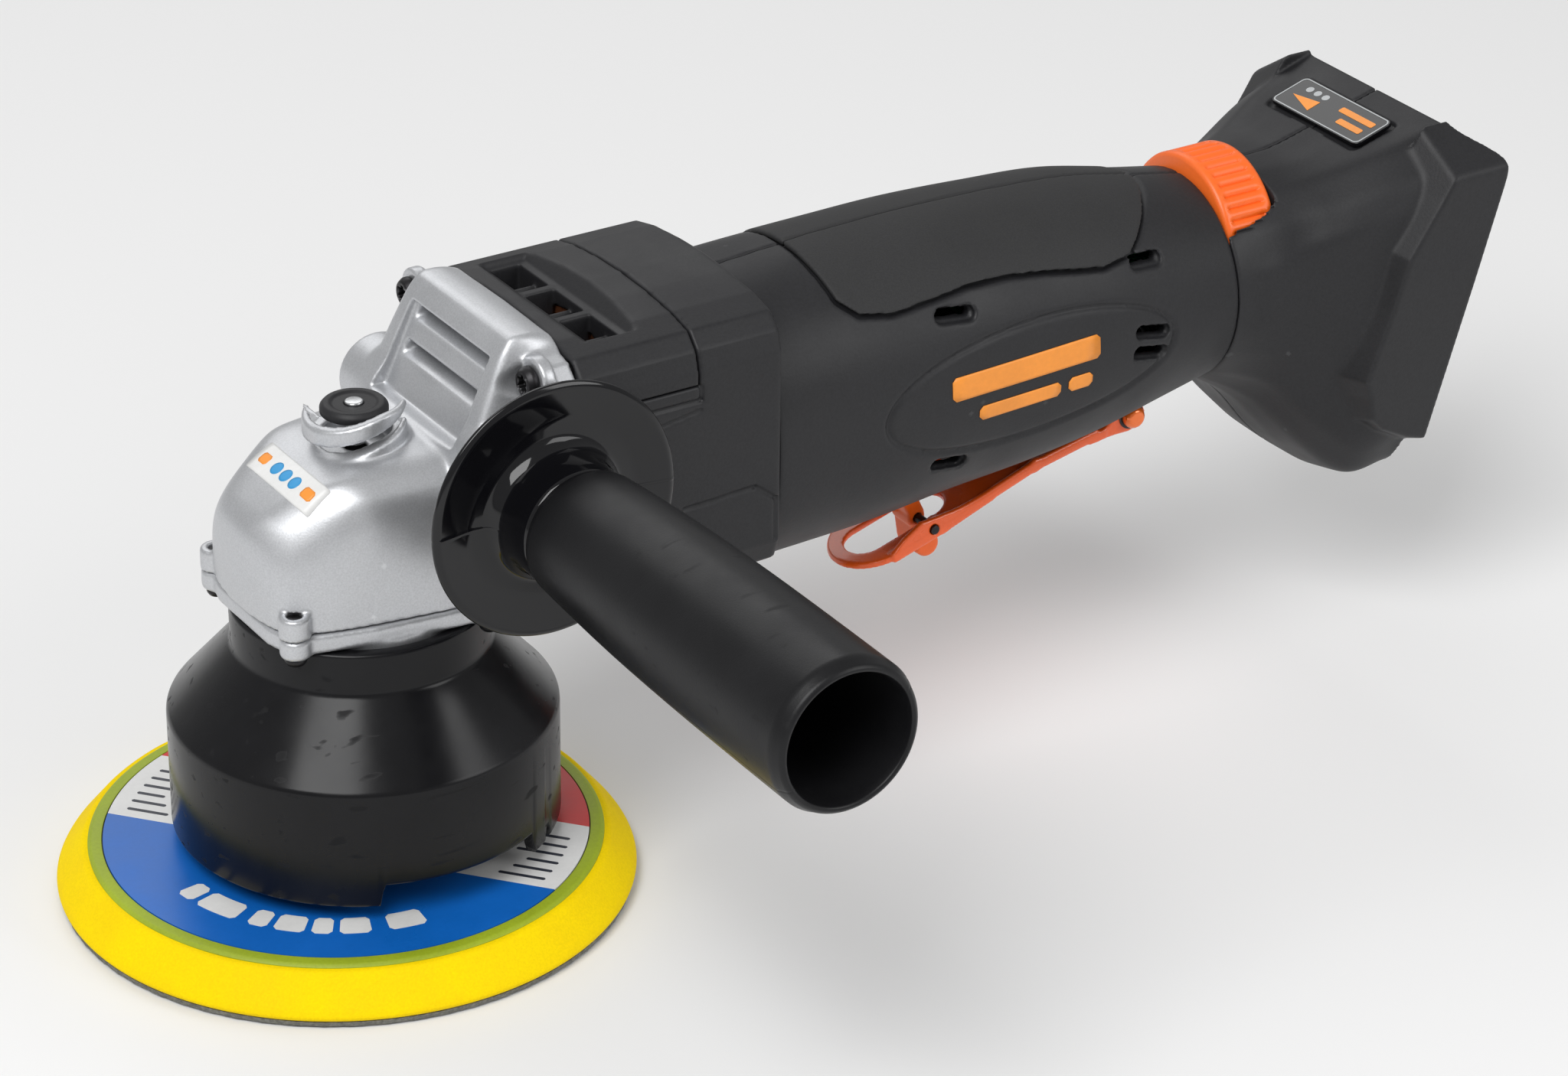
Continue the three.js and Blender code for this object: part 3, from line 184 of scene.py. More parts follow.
# ------------------------------------------------------------------- meshes
def linked(name, data):
    """A new object in the scene that holds the data."""
    item = bpy.data.objects.new(name, data)
    bpy.context.scene.collection.objects.link(item)
    return item


@contextmanager
def opened(piece):
    """The piece's mesh, open for editing."""
    bm = bmesh.new()
    bm.from_mesh(piece.data)
    yield bm
    bm.to_mesh(piece.data)
    bm.free()


def mesh_object(name, vertices, faces, smooth=True):
    """A mesh object from points in millimetres and faces given as vertex numbers."""
    data = bpy.data.meshes.new(name)
    data.from_pydata((np.asarray(vertices, float) * MM).tolist(), [], [list(map(int, f)) for f in faces])
    data.validate()
    data.polygons.foreach_set("use_smooth", [smooth] * len(data.polygons))
    return linked(name, data)


def quad_object(name, vertices, quads):
    """The same, made quickly from large arrays of quads."""
    data = bpy.data.meshes.new(name)
    data.vertices.add(len(vertices))
    data.vertices.foreach_set("co", (vertices * MM).astype(np.float32).ravel())
    data.loops.add(quads.size)
    data.loops.foreach_set("vertex_index", quads.ravel().astype(np.int32))
    data.polygons.add(len(quads))
    data.polygons.foreach_set("loop_start", np.arange(0, quads.size, 4, dtype=np.int32))
    data.polygons.foreach_set("use_smooth", np.ones(len(quads), bool))
    data.update(calc_edges=True)
    data.validate()
    return linked(name, data)


def field_object(name, field, axes, step):
    """Meshes the surface where a field crosses zero, with one vertex in each crossed cell."""
    low = np.array([a.ravel()[0] for a in axes], float)
    inside = field < 0
    nx, ny, nz = (n - 1 for n in field.shape)
    count = sum(inside[i:nx + i, j:ny + j, k:nz + k].astype(np.int8)
                for i in (0, 1) for j in (0, 1) for k in (0, 1))
    active = (count > 0) & (count < 8)
    cells = np.argwhere(active)
    ids = np.full(active.shape, -1, np.int32)
    ids[active] = np.arange(len(cells), dtype=np.int32)
    total = np.zeros((len(cells), 3))
    hits = np.zeros(len(cells))
    i, j, k = cells.T
    for axis in range(3):
        u, v = (axis + 1) % 3, (axis + 2) % 3
        for a in (0, 1):
            for b in (0, 1):
                offset = [0, 0, 0]
                offset[u], offset[v] = a, b
                end = list(offset)
                end[axis] = 1
                f0 = field[i + offset[0], j + offset[1], k + offset[2]]
                f1 = field[i + end[0], j + end[1], k + end[2]]
                crossed = (f0 < 0) != (f1 < 0)
                t = np.where(crossed, f0 / np.where(crossed, f0 - f1, 1), 0)
                point = np.tile(np.array(offset, float), (len(cells), 1))
                point[:, axis] += t
                total[crossed] += point[crossed]
                hits[crossed] += 1
    vertices = low + step * (cells + total / hits[:, None])
    quads = []
    for axis in range(3):
        u, v = (axis + 1) % 3, (axis + 2) % 3
        first = [slice(None)] * 3
        second = [slice(None)] * 3
        first[axis], second[axis] = slice(0, -1), slice(1, None)
        change = inside[tuple(first)] != inside[tuple(second)]
        at = np.argwhere(change)
        size = np.array(active.shape)
        at = at[(at[:, u] > 0) & (at[:, v] > 0) & (at[:, u] < size[u]) & (at[:, v] < size[v])]
        leaving = inside[at[:, 0], at[:, 1], at[:, 2]]
        ring = []
        for du, dv in ((1, 1), (0, 1), (0, 0), (1, 0)):
            cell = at.copy()
            cell[:, u] -= du
            cell[:, v] -= dv
            ring.append(ids[cell[:, 0], cell[:, 1], cell[:, 2]])
        ring = np.stack(ring, axis=1)
        ring[~leaving] = ring[~leaving][:, ::-1]
        quads.append(ring)
    return quad_object(name, vertices, np.concatenate(quads))


def fillet(points, radius, steps=5, closed=False):
    """Rounds the corners of a [radius, height] outline."""
    points = [np.array(p, float) for p in points]
    out = []
    n = len(points)
    for i, here in enumerate(points):
        if not closed and i in (0, n - 1):
            out.append(here)
            continue
        before, after = points[i - 1], points[(i + 1) % n]
        a, b = before - here, after - here
        la, lb = np.linalg.norm(a), np.linalg.norm(b)
        reach = min(radius, la * 0.45, lb * 0.45)
        start, end = here + a / la * reach, here + b / lb * reach
        for s in np.linspace(0, 1, steps):
            out.append((1 - s) ** 2 * start + 2 * s * (1 - s) * here + s ** 2 * end)
    return out


def lathe(name, outline, segments=128, change=None):
    """Turns a [radius, height] outline about Z: a ring where it is closed, or else a body on the axis."""
    ring = np.array(outline, float)
    closed = bool(np.allclose(ring[0], ring[-1]))
    if closed:
        ring = ring[:-1]
    angle = np.arange(segments) * TAU / segments
    r = np.repeat(ring[:, :1], segments, axis=1)
    z = np.repeat(ring[:, 1:], segments, axis=1)
    a = np.repeat(angle[None, :], len(ring), axis=0)
    if change:
        r, z = change(r, z, a)
    vertices = np.stack([r * np.cos(a), r * np.sin(a), z], axis=-1).reshape(-1, 3)
    rows = len(ring)
    faces = []
    for i in range(rows if closed else rows - 1):
        k = (i + 1) % rows
        for j in range(segments):
            m = (j + 1) % segments
            faces.append((i * segments + j, i * segments + m, k * segments + m, k * segments + j))
    piece = mesh_object(name, vertices, faces)
    with opened(piece) as bm:
        bmesh.ops.remove_doubles(bm, verts=bm.verts, dist=WELD)
        loose = [e for e in bm.edges if e.is_boundary]
        if loose and not closed:
            bmesh.ops.holes_fill(bm, edges=loose, sides=0)
        bmesh.ops.recalc_face_normals(bm, faces=bm.faces)
    return piece


def ring(points, radius, steps=5):
    """A rounded outline that comes back to its start."""
    outline = fillet(points, radius, steps, closed=True)
    return outline + outline[:1]


def moved(piece, matrix):
    """Moves the mesh itself, so that the object stays at the origin. The matrix is in millimetres."""
    m = matrix.copy()
    m.translation = m.translation * MM
    piece.data.transform(m)
    piece.data.update()
    return piece


def at(x, y, z, turn=None):
    m = Matrix.Translation((x, y, z))
    return m @ turn if turn is not None else m


TO_X = Matrix.Rotation(math.pi / 2, 4, "Y")  # a body's own +Z to +X
TO_MINUS_Y = Matrix.Rotation(math.pi / 2, 4, "X")  # a body's own +Z to -Y


def smooth_by_angle(piece, degrees=35):
    """Keeps edges sharper than an angle crisp."""
    limit = math.radians(degrees)
    with opened(piece) as bm:
        for edge in bm.edges:
            edge.smooth = len(edge.link_faces) != 2 or edge.calc_face_angle(0) < limit
    return piece


def bevelled(piece, width):
    """Rounds the sharp edges."""
    modifier = piece.modifiers.new("edges", "BEVEL")
    modifier.width = width * MM
    modifier.segments = 3
    modifier.limit_method = "ANGLE"
    modifier.angle_limit = math.radians(30)
    modifier.harden_normals = True
    return piece


def joined(name, pieces):
    """One object out of several."""
    bm = bmesh.new()
    for piece in pieces:
        bm.from_mesh(piece.data)
    data = bpy.data.meshes.new(name)
    bm.to_mesh(data)
    bm.free()
    for piece in pieces:
        bpy.data.objects.remove(piece)
    return linked(name, data)


# ---------------------------------------------------------------- materials
def add_node(material, kind, **inputs):
    node = material.node_tree.nodes.new(kind)
    for key, value in inputs.items():
        node.inputs[key.replace("_", " ")].default_value = value
    return node


def ramp(material, source, *stops):
    """Colours that follow a noise node between two levels."""
    node = add_node(material, "ShaderNodeValToRGB")
    for element, (level, colour) in zip(node.color_ramp.elements, stops):
        element.position = level
        element.color = (*colour, 1)
    material.node_tree.links.new(source.outputs["Fac"], node.inputs["Fac"])
    return node.outputs["Color"]


def surface(name, colour, roughness, metallic=0.0, grain=1400.0, grain_depth=0.02, speckle=0.12,
            blotch=45.0, blotch_depth=0.10, wear=0.0, wear_colour=(0.5, 0.5, 0.5), scratches=0.0, coat=0.0,
            specular=0.5):
    """A moulded, cast or painted surface: fine grain, uneven gloss, and edges that have rubbed lighter."""
    material = bpy.data.materials.new(name)
    material.use_nodes = True
    links = material.node_tree.links
    shader = material.node_tree.nodes["Principled BSDF"]
    shader.inputs["Metallic"].default_value = metallic
    shader.inputs["Coat Weight"].default_value = coat
    shader.inputs["Coat Roughness"].default_value = 0.08
    shader.inputs["Specular IOR Level"].default_value = specular
    place = add_node(material, "ShaderNodeTexCoord")
    fine = add_node(material, "ShaderNodeTexNoise", Scale=grain, Detail=3.0, Roughness=0.6)
    broad = add_node(material, "ShaderNodeTexNoise", Scale=blotch, Detail=4.0, Roughness=0.55)
    links.new(place.outputs["Object"], fine.inputs["Vector"])
    links.new(place.outputs["Object"], broad.inputs["Vector"])

    dark, light = ([min(c * factor, 1) for c in colour] for factor in (1 - blotch_depth, 1 + blotch_depth))
    shades = ramp(material, broad, (0.3, dark), (0.72, light))
    dots = ramp(material, fine, (0.32, [1 - speckle] * 3), (0.68, [1, 1, 1]))
    tint = add_node(material, "ShaderNodeMix")
    tint.data_type = "RGBA"
    tint.blend_type = "MULTIPLY"
    tint.inputs["Factor"].default_value = 1.0
    links.new(shades, tint.inputs["A"])
    links.new(dots, tint.inputs["B"])
    result = tint.outputs["Result"]

    if wear:
        form = add_node(material, "ShaderNodeNewGeometry")
        edge = add_node(material, "ShaderNodeMapRange", From_Min=0.53, From_Max=0.62, To_Min=0.0, To_Max=wear)
        links.new(form.outputs["Pointiness"], edge.inputs["Value"])
        rub = add_node(material, "ShaderNodeMix")
        rub.data_type = "RGBA"
        rub.inputs["B"].default_value = (*wear_colour, 1)
        links.new(edge.outputs["Result"], rub.inputs["Factor"])
        links.new(result, rub.inputs["A"])
        result = rub.outputs["Result"]
    links.new(result, shader.inputs["Base Color"])

    gloss = add_node(material, "ShaderNodeMapRange", From_Min=0.3, From_Max=0.75,
                     To_Min=max(roughness - 0.08, 0.02), To_Max=min(roughness + 0.08, 1.0))
    links.new(broad.outputs["Fac"], gloss.inputs["Value"])
    rough_out = gloss.outputs["Result"]
    bump = add_node(material, "ShaderNodeBump", Strength=1.0, Distance=grain_depth * MM)
    links.new(fine.outputs["Fac"], bump.inputs["Height"])
    if scratches:
        stretch = add_node(material, "ShaderNodeMapping", Scale=(30.0, 320.0, 420.0),
                           Rotation=(0.3, 0.6, 0.8))
        lines = add_node(material, "ShaderNodeTexNoise", Scale=1.0, Detail=2.0, Roughness=0.4)
        links.new(place.outputs["Object"], stretch.inputs["Vector"])
        links.new(stretch.outputs["Vector"], lines.inputs["Vector"])
        marks = add_node(material, "ShaderNodeMapRange", From_Min=0.66, From_Max=0.74,
                         To_Min=0.0, To_Max=scratches)
        links.new(lines.outputs["Fac"], marks.inputs["Value"])
        total = add_node(material, "ShaderNodeMath")
        total.operation = "ADD"
        links.new(rough_out, total.inputs[0])
        links.new(marks.outputs["Result"], total.inputs[1])
        rough_out = total.outputs["Value"]
    links.new(rough_out, shader.inputs["Roughness"])
    links.new(bump.outputs["Normal"], shader.inputs["Normal"])
    return material


BLACK = surface("black_plastic", (0.017, 0.017, 0.019), 0.50, grain=1500, grain_depth=0.03, speckle=0.25,
                specular=0.36, wear=0.25, wear_colour=(0.11, 0.11, 0.115))
RUBBER = surface("grip_rubber", (0.022, 0.022, 0.023), 0.72, grain=2600, grain_depth=0.025, speckle=0.3,
                 blotch_depth=0.16, wear=0.15, wear_colour=(0.10, 0.10, 0.10))
SOFT = surface("handle_black", (0.008, 0.008, 0.009), 0.40, grain=2200, grain_depth=0.02, speckle=0.15,
               specular=0.26, blotch_depth=0.2, scratches=0.12)
GLOSS = surface("gloss_black", (0.004, 0.004, 0.005), 0.09, grain=60, grain_depth=0.02, speckle=0.0,
                specular=0.4)
SHROUD = surface("shroud_black", (0.006, 0.006, 0.007), 0.26, specular=0.24, grain=240, grain_depth=0.012,
                 speckle=0.1, blotch=30, blotch_depth=0.25, scratches=0.35,
                 wear=0.2, wear_colour=(0.09, 0.09, 0.1))
CAST = surface("cast_alloy", (0.60, 0.61, 0.63), 0.40, metallic=0.75, grain=2600, grain_depth=0.018,
               speckle=0.16, blotch_depth=0.05, wear=0.35, wear_colour=(0.86, 0.87, 0.88))
STEEL = surface("bright_steel", (0.58, 0.59, 0.60), 0.26, metallic=1.0, grain=900, grain_depth=0.005,
                wear=0.2, wear_colour=(0.8, 0.8, 0.8), scratches=0.15)
DARK = surface("dark_steel", (0.035, 0.034, 0.036), 0.38, metallic=0.85, grain=1200, grain_depth=0.01,
               wear=0.5, wear_colour=(0.3, 0.3, 0.31))
ORANGE = surface("orange_plastic", (0.95, 0.145, 0.012), 0.36, grain=1200, grain_depth=0.008, speckle=0.05,
                 blotch_depth=0.06, wear=0.3, wear_colour=(1.0, 0.36, 0.12))
PAINT = surface("lever_paint", (0.90, 0.115, 0.010), 0.30, grain=1500, grain_depth=0.012, speckle=0.06,
                blotch_depth=0.08, coat=0.35, wear=0.4, wear_colour=(1.0, 0.34, 0.14))
AMBER = surface("pin_amber", (0.98, 0.17, 0.01), 0.16, grain=500, grain_depth=0.004, speckle=0.0,
                metallic=0.35, coat=0.8)
FOAM = surface("pad_foam", (1.0, 0.70, 0.0), 0.78, grain=1900, grain_depth=0.05, speckle=0.10,
               blotch=70, blotch_depth=0.05, wear=0.15, wear_colour=(1.0, 0.78, 0.05), specular=0.12)
HOOK = surface("hook_fabric", (0.22, 0.22, 0.20), 0.95, grain=1100, grain_depth=0.35, speckle=0.5)
OLIVE = surface("pad_rim", (0.33, 0.42, 0.015), 0.5, grain=1500, grain_depth=0.02, speckle=0.12)


def printed(name, colour, roughness, speckle=0.04):
    """Print on a label, which is nearly smooth."""
    return surface(name, colour, roughness, grain=900, grain_depth=0.004, speckle=speckle)


BLUE = printed("label_blue", (0.005, 0.125, 0.50), 0.33)
WHITE = printed("label_white", (0.74, 0.74, 0.73), 0.36)
RED = printed("label_red", (0.60, 0.010, 0.008), 0.40)
INK = printed("label_ink", (0.03, 0.035, 0.05), 0.45, 0.1)
SILVER_PRINT = printed("print_silver", (0.45, 0.47, 0.48), 0.4, 0.06)
PRINT = printed("print_orange", (0.88, 0.30, 0.035), 0.42, 0.06)
SKY = printed("print_blue", (0.03, 0.30, 0.62), 0.4, 0.06)
COPPER = surface("copper", (0.55, 0.20, 0.09), 0.35, metallic=0.9, grain=900, grain_depth=0.02)
CORE = surface("core_steel", (0.20, 0.19, 0.18), 0.45, metallic=0.8, grain=700, grain_depth=0.03)
BRASS = surface("terminal_brass", (0.72, 0.62, 0.38), 0.3, metallic=1.0, grain=900, grain_depth=0.01)
BOARD = surface("board", (0.02, 0.14, 0.05), 0.4, grain=900, grain_depth=0.01)
CARBON = surface("carbon", (0.03, 0.03, 0.032), 0.6, grain=1500, grain_depth=0.03)
SLOT_MATERIAL = {
    "cast_alloy": CAST, "bright_steel": STEEL, "dark_steel": DARK, "core_steel": CORE,
    "winding_copper": COPPER, "commutator_copper": COPPER, "terminal_brass": BRASS,
    "black_plastic": BLACK, "gloss_black": GLOSS,
    "shroud_black": SHROUD, "handle_black": SOFT, "grip_rubber": RUBBER, "lever_paint": PAINT,
    "orange_plastic": ORANGE, "pin_amber": AMBER, "pad_foam": FOAM, "hook_fabric": HOOK, "pad_print": BLUE,
    "board": BOARD, "carbon": CARBON,
}


def dress(piece, body, slot, *replaced, material=None):
    """Gives a piece its material, the slot's own unless one is given, puts it on its body, and hides the CAD
    nodes that it stands for.
    """
    piece.data.materials.clear()
    piece.data.materials.append(material or SLOT_MATERIAL[slot])
    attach(piece, body)
    if replaced:
        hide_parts(*replaced)
    return piece


def turned(name, outline, segments, place, *looks, change=None, material=None):
    """A lathed piece in its place, dressed."""
    piece = lathe(name, outline, segments, change)
    if place is not None:
        moved(piece, place)
    return dress(piece, *looks, material=material)


# ---------------------------------------------------------------- gear head
NOSE = both_sides([
    (-27.4, 11, CASE_BOTTOM - 6), (-25.8, 17.2, CASE_BOTTOM - 6), (-22.4, 19.4, CASE_BOTTOM - 6),
    (-8, 23, CASE_BOTTOM - 6), (8, 25, CASE_BOTTOM - 6), (36, 27.5, CASE_BOTTOM - 6),
    (-30, 9, 86), (-26.6, 16.6, 84), (-12, 23.2, 86), (8, 26, 86), (36, 28.5, 86),
    (-28.4, 9, 92.5), (-25, 14.6, 91.6), (-21, 11, 98.4), (-19.6, 15.6, 94.6), (-12.6, 15.6, 102.4),
    (-11, 21, 97.8), (8, 24.2, 98.5), (8, 18, 103.7), (36, 26.5, 98.5),
    (36, 18, 103.7), (-8, 6, 104.5), (36, 6, 104.5),
])
SLOPE = both_sides([
    (13, 23.5, 100), (16, 21.5, 108.5), (23.6, 20.3, 124.2), (26.5, 19.8, 127.3), (32, 19.8, 127.3),
    (36, 20, 125.6), (36, 26, 118), (36, 28, 100), (24, 27, 92), (36, 28, 92),
])
FIELD_HALF = [
    (0, FIELD_HIGH), (10, FIELD_HIGH - 0.4), (20, FIELD_HIGH - 1.4), (27, FIELD_HIGH - 3),
    (30.2, FIELD_HIGH - 6.4), (FIELD_W, FIELD_HIGH - 11), (FIELD_W, FIELD_LOW + 9),
    (29.6, FIELD_LOW + 4), (25, FIELD_LOW + 1), (18, FIELD_LOW),
]
FIELD_OUTLINE = FIELD_HALF + [(-y, z) for y, z in FIELD_HALF[:0:-1]]
PLATE_SCREWS = [(-24.4, 17.8), (-24.4, -17.8), (17, 25.5), (17, -25.5)]
BUTTON_R, GUARD_TOP = 8.6, 112.2
GUARD_TURN = math.radians(52)  # direction of the guard wall's open side, from +X


def gear_case():
    x, y, z = axes = grid((-31, -BOSS_Y - 1, 61), (FLANGE_BACK, BOSS_Y + 1, 128), STEP)
    nose = np.maximum(hull_field(x, y, z, NOSE, 3.0) - 0.35, CASE_BOTTOM - z + 0 * x)
    nose = smooth_max(nose, x - FLANGE_BACK, 0.6)
    slope = hull_field(x, y, z, SLOPE, 1.2) - 0.15
    flange = smooth_max(outline_field(y, z, FIELD_OUTLINE) + 0.3, slab(x, 29.5, FLANGE_BACK), 1.0)
    bosses = rod_field(x - HANDLE_X, z - HANDLE_Z, y, BOSS_R, -BOSS_Y, BOSS_Y, 1.0)
    body = smooth_min(nose, slope, 2.5)
    body = smooth_min(body, flange, 1.2)
    body = smooth_min(body, bosses, 2.2)
    for side in (-1, 1):
        for height in (SCREW_HIGH, SCREW_LOW):
            ear = rod_field(y - side * SCREW_Y, z - height, x, 5.2, 27.8, 31, 0.8)
            body = smooth_min(body, ear, 1.0)
    for a, b in PLATE_SCREWS:
        body = smooth_min(body, rod_field(x - a, y - b, z, 3.4, CASE_BOTTOM - 4, CASE_BOTTOM + 4.9, 1.0), 1.0)
    button_boss = rod_field(x, y, z, 10.8, 100, 105.8, 0.8)
    body = smooth_min(body, button_boss, 1.6)
    c, s = math.cos(GUARD_TURN), math.sin(GUARD_TURN)
    crescent = cut(rod_field(x, y, z, 10.9, 100, GUARD_TOP, 0.7),
                   rod_field(x - 1.0 * c, y - 1.0 * s, z, BUTTON_R + 0.9, 90, 120), 0.4)
    crescent = smooth_max(crescent, x * c + y * s - 1.6, 0.8)
    body = smooth_min(body, crescent, 0.8)
    # The plane face behind the sloping wall's border, and its two openings.
    wall = (x - 13) * 0.88 - (z - 100) * 0.385
    frame_in = np.maximum(np.abs(y) - 17.6 + (z - 100) * 0.05, slab(z, 104.5, 122.6))
    body = cut(body, np.maximum(smooth_max(frame_in, wall - 1.3, 0.8), -5 - wall), 0.5)
    for height in (121.0 - 2.4, 114.6 - 2.4):
        slot = smooth_max(np.abs(y) - 15.2, np.abs(z - height - (x - 18) * 0.3) - 1.35, 1.2)
        body = cut(body, smooth_max(slot, wall - 5.5, 0.4), 0.7)
    cuts = [
        rod_field(x, y, z, 18.6, 50, 96.2), rod_field(y, z - AXIS_Z, x, 8.6, 0, 24),
        rod_field(y, z - AXIS_Z, x, BEARING_SEAT_R, 23.4, 40), rod_field(x, y, z, 9.5, 90, 100.4),
        rod_field(x, y, z, 2.4, 95, 120), rod_field(x, y, z, 7.7, 101.6, 120),
        rod_field(x - HANDLE_X, z - HANDLE_Z, y, HANDLE_BORE_R, -60, -14),
        rod_field(x - HANDLE_X, z - HANDLE_Z, y, HANDLE_BORE_R, 20, 60),
    ]
    for side in (-1, 1):
        cuts += [rod_field(y - side * SCREW_Y, z - h, x, HEAD_HOLE_R, 20, 50) for h in (SCREW_HIGH, SCREW_LOW)]
        cuts.append(rod_field(y - side * SCREW_Y, z - SCREW_HIGH, x, 4.3, 14, 27.8))
    cuts += [rod_field(x - a, y - b, z, PLATE_HOLE_R, 60, 76.4) for a, b in PLATE_SCREWS]
    for hole in cuts:
        body = cut(body, hole, 0.5)
    body = np.maximum(body, np.minimum(CASE_BOTTOM - z, 30 - x + 0 * z))
    dress(field_object("gear_case_cast", body, axes, STEP), "housing", "cast_alloy", "gear_case")


gear_case()


def mirrored(name, piece):
    """A copy of a piece on the other side of the centre plane."""
    data = piece.data.copy()
    data.transform(Matrix.Scale(-1, 4, (0, 1, 0)))
    data.flip_normals()
    return linked(name, data)


def bearing_plate():
    x, y, z = axes = grid((-29, -27, 59.5), (30, 27, 74.5), STEP)
    edge = [(-27.6, 11), (-26, 17.4), (-22.4, 19.6), (-8, 23.2), (8, 25), (19, 25.6),
            (21.5, 20.5), (29, 20.5)]
    outline = edge + [(a, -b) for a, b in edge[::-1]]
    body = smooth_max(outline_field(x, y, outline) + 0 * z, slab(z, PLATE_LOW, PLATE_HIGH), 1.2)
    body = smooth_min(body, rod_field(x, y, z, 24.35, 60, 68), 0.4)
    body = smooth_min(body, rod_field(x, y, z, 18.4, 70, 74), 0.4)
    for a, b in PLATE_SCREWS:
        body = smooth_min(body, rod_field(x - a, y - b, z, 3.3, PLATE_LOW, PLATE_HIGH, 0.8), 0.8)
    holes = [rod_field(x, y, z, *size) for size in ((8.2, 50, 90), (BEARING_SEAT_R, 50, 71), (15, 73, 90))]
    holes += [rod_field(x - a, y - b, z, PLATE_HOLE_R, 60, 79) for a, b in PLATE_SCREWS]
    for hole in holes:
        body = cut(body, hole, 0.4)
    dress(field_object("bearing_plate_cast", body, axes, STEP), "housing", "cast_alloy", "bearing_plate")


def shroud():
    outer = [(SKIRT_R, SKIRT_LOW), (SKIRT_R, 41.4), (27.7, 57.3), (27.7, NECK_TOP), (24.4, NECK_TOP),
             (24.4, 57.0), (39.3, 40.4), (39.3, SKIRT_LOW)]

    def notches(r, z, a):
        degrees = (np.degrees(a) + 180) % 360 - 180
        lift = np.zeros_like(a)
        for start, end, height in ((-114, -60, 5.0), (-53, -49, 3.5), (40, 66, 5.0)):
            ramp = np.minimum(degrees - start, end - degrees)
            lift = np.maximum(lift, height * np.clip(ramp / 0.9, 0, 1))
        return r, z + np.where(z < SKIRT_LOW + 1.5, lift, 0)

    turned("shroud_skirt", ring(outer, 0.9), 400, None, "housing", "shroud_black", "shroud", change=notches)


def screw(node, head, height, shank, length, place):
    """Round-headed screw with a six-lobed recess, its shank towards -Z."""
    outline = fillet([(0, -length), (shank, -length), (shank, -0.01), (head, 0), (head, height * 0.5),
                      (head * 0.78, height), (head * 0.5, height), (head * 0.46, height * 0.3),
                      (0, height * 0.3)], 0.35, 4)

    def lobes(r, z, a):
        inside = (z > height * 0.28) & (r < head * 0.56) & (r > 0.01)
        return np.where(inside, r * (1 + 0.17 * np.cos(6 * a)), r), z

    turned(f"{node}_head", outline, 72, place, "housing", "dark_steel", node, change=lobes)


def fasteners():
    turn = Matrix.Rotation(math.pi, 4, "X")
    for i, (a, b) in enumerate(PLATE_SCREWS, 1):
        screw(f"plate_screw_{i}", 2.4, 1.8, 1.6, 9, at(a, b, PLATE_LOW - 0.05, turn))
    turn = Matrix.Rotation(-math.pi / 2, 4, "Y")
    spots = [(1, SCREW_HIGH), (-1, SCREW_HIGH), (1, SCREW_LOW), (-1, SCREW_LOW)]
    for i, (side, height) in enumerate(spots, 1):
        screw(f"head_screw_{i}", 3.5, 2.4, 2, 16, at(27.75, side * SCREW_Y, height, turn))
    turn = Matrix.Rotation(-math.pi / 2, 4, "X")
    for i, (a, b) in enumerate(SHELL_SCREWS, 1):
        screw(f"shell_screw_{i}", 3, 2.2, 1.55, 36, at(a, 19, b, turn))


def lock_button():
    low, high = corners("lock_button")[0][2], corners("lock_button")[1][2]
    outline = ring([(2.05, low), (7.2, low), (7.2, high - 0.9), (6.4, high), (5.2, high), (4.6, high - 0.45),
                    (2.05, high - 0.3)], 0.35, 4)
    turned("lock_button_cap", outline, 96, None, "spindle_lock", "black_plastic", "lock_button")
    low, high = corners("lock_pin")[0][2], corners("lock_pin")[1][2]
    outline = fillet([(0, low), (2, low), (2, high), (0, high)], 0.4, 5)
    turned("lock_pin_rod", outline, 48, None, "spindle_lock", "bright_steel", "lock_pin")


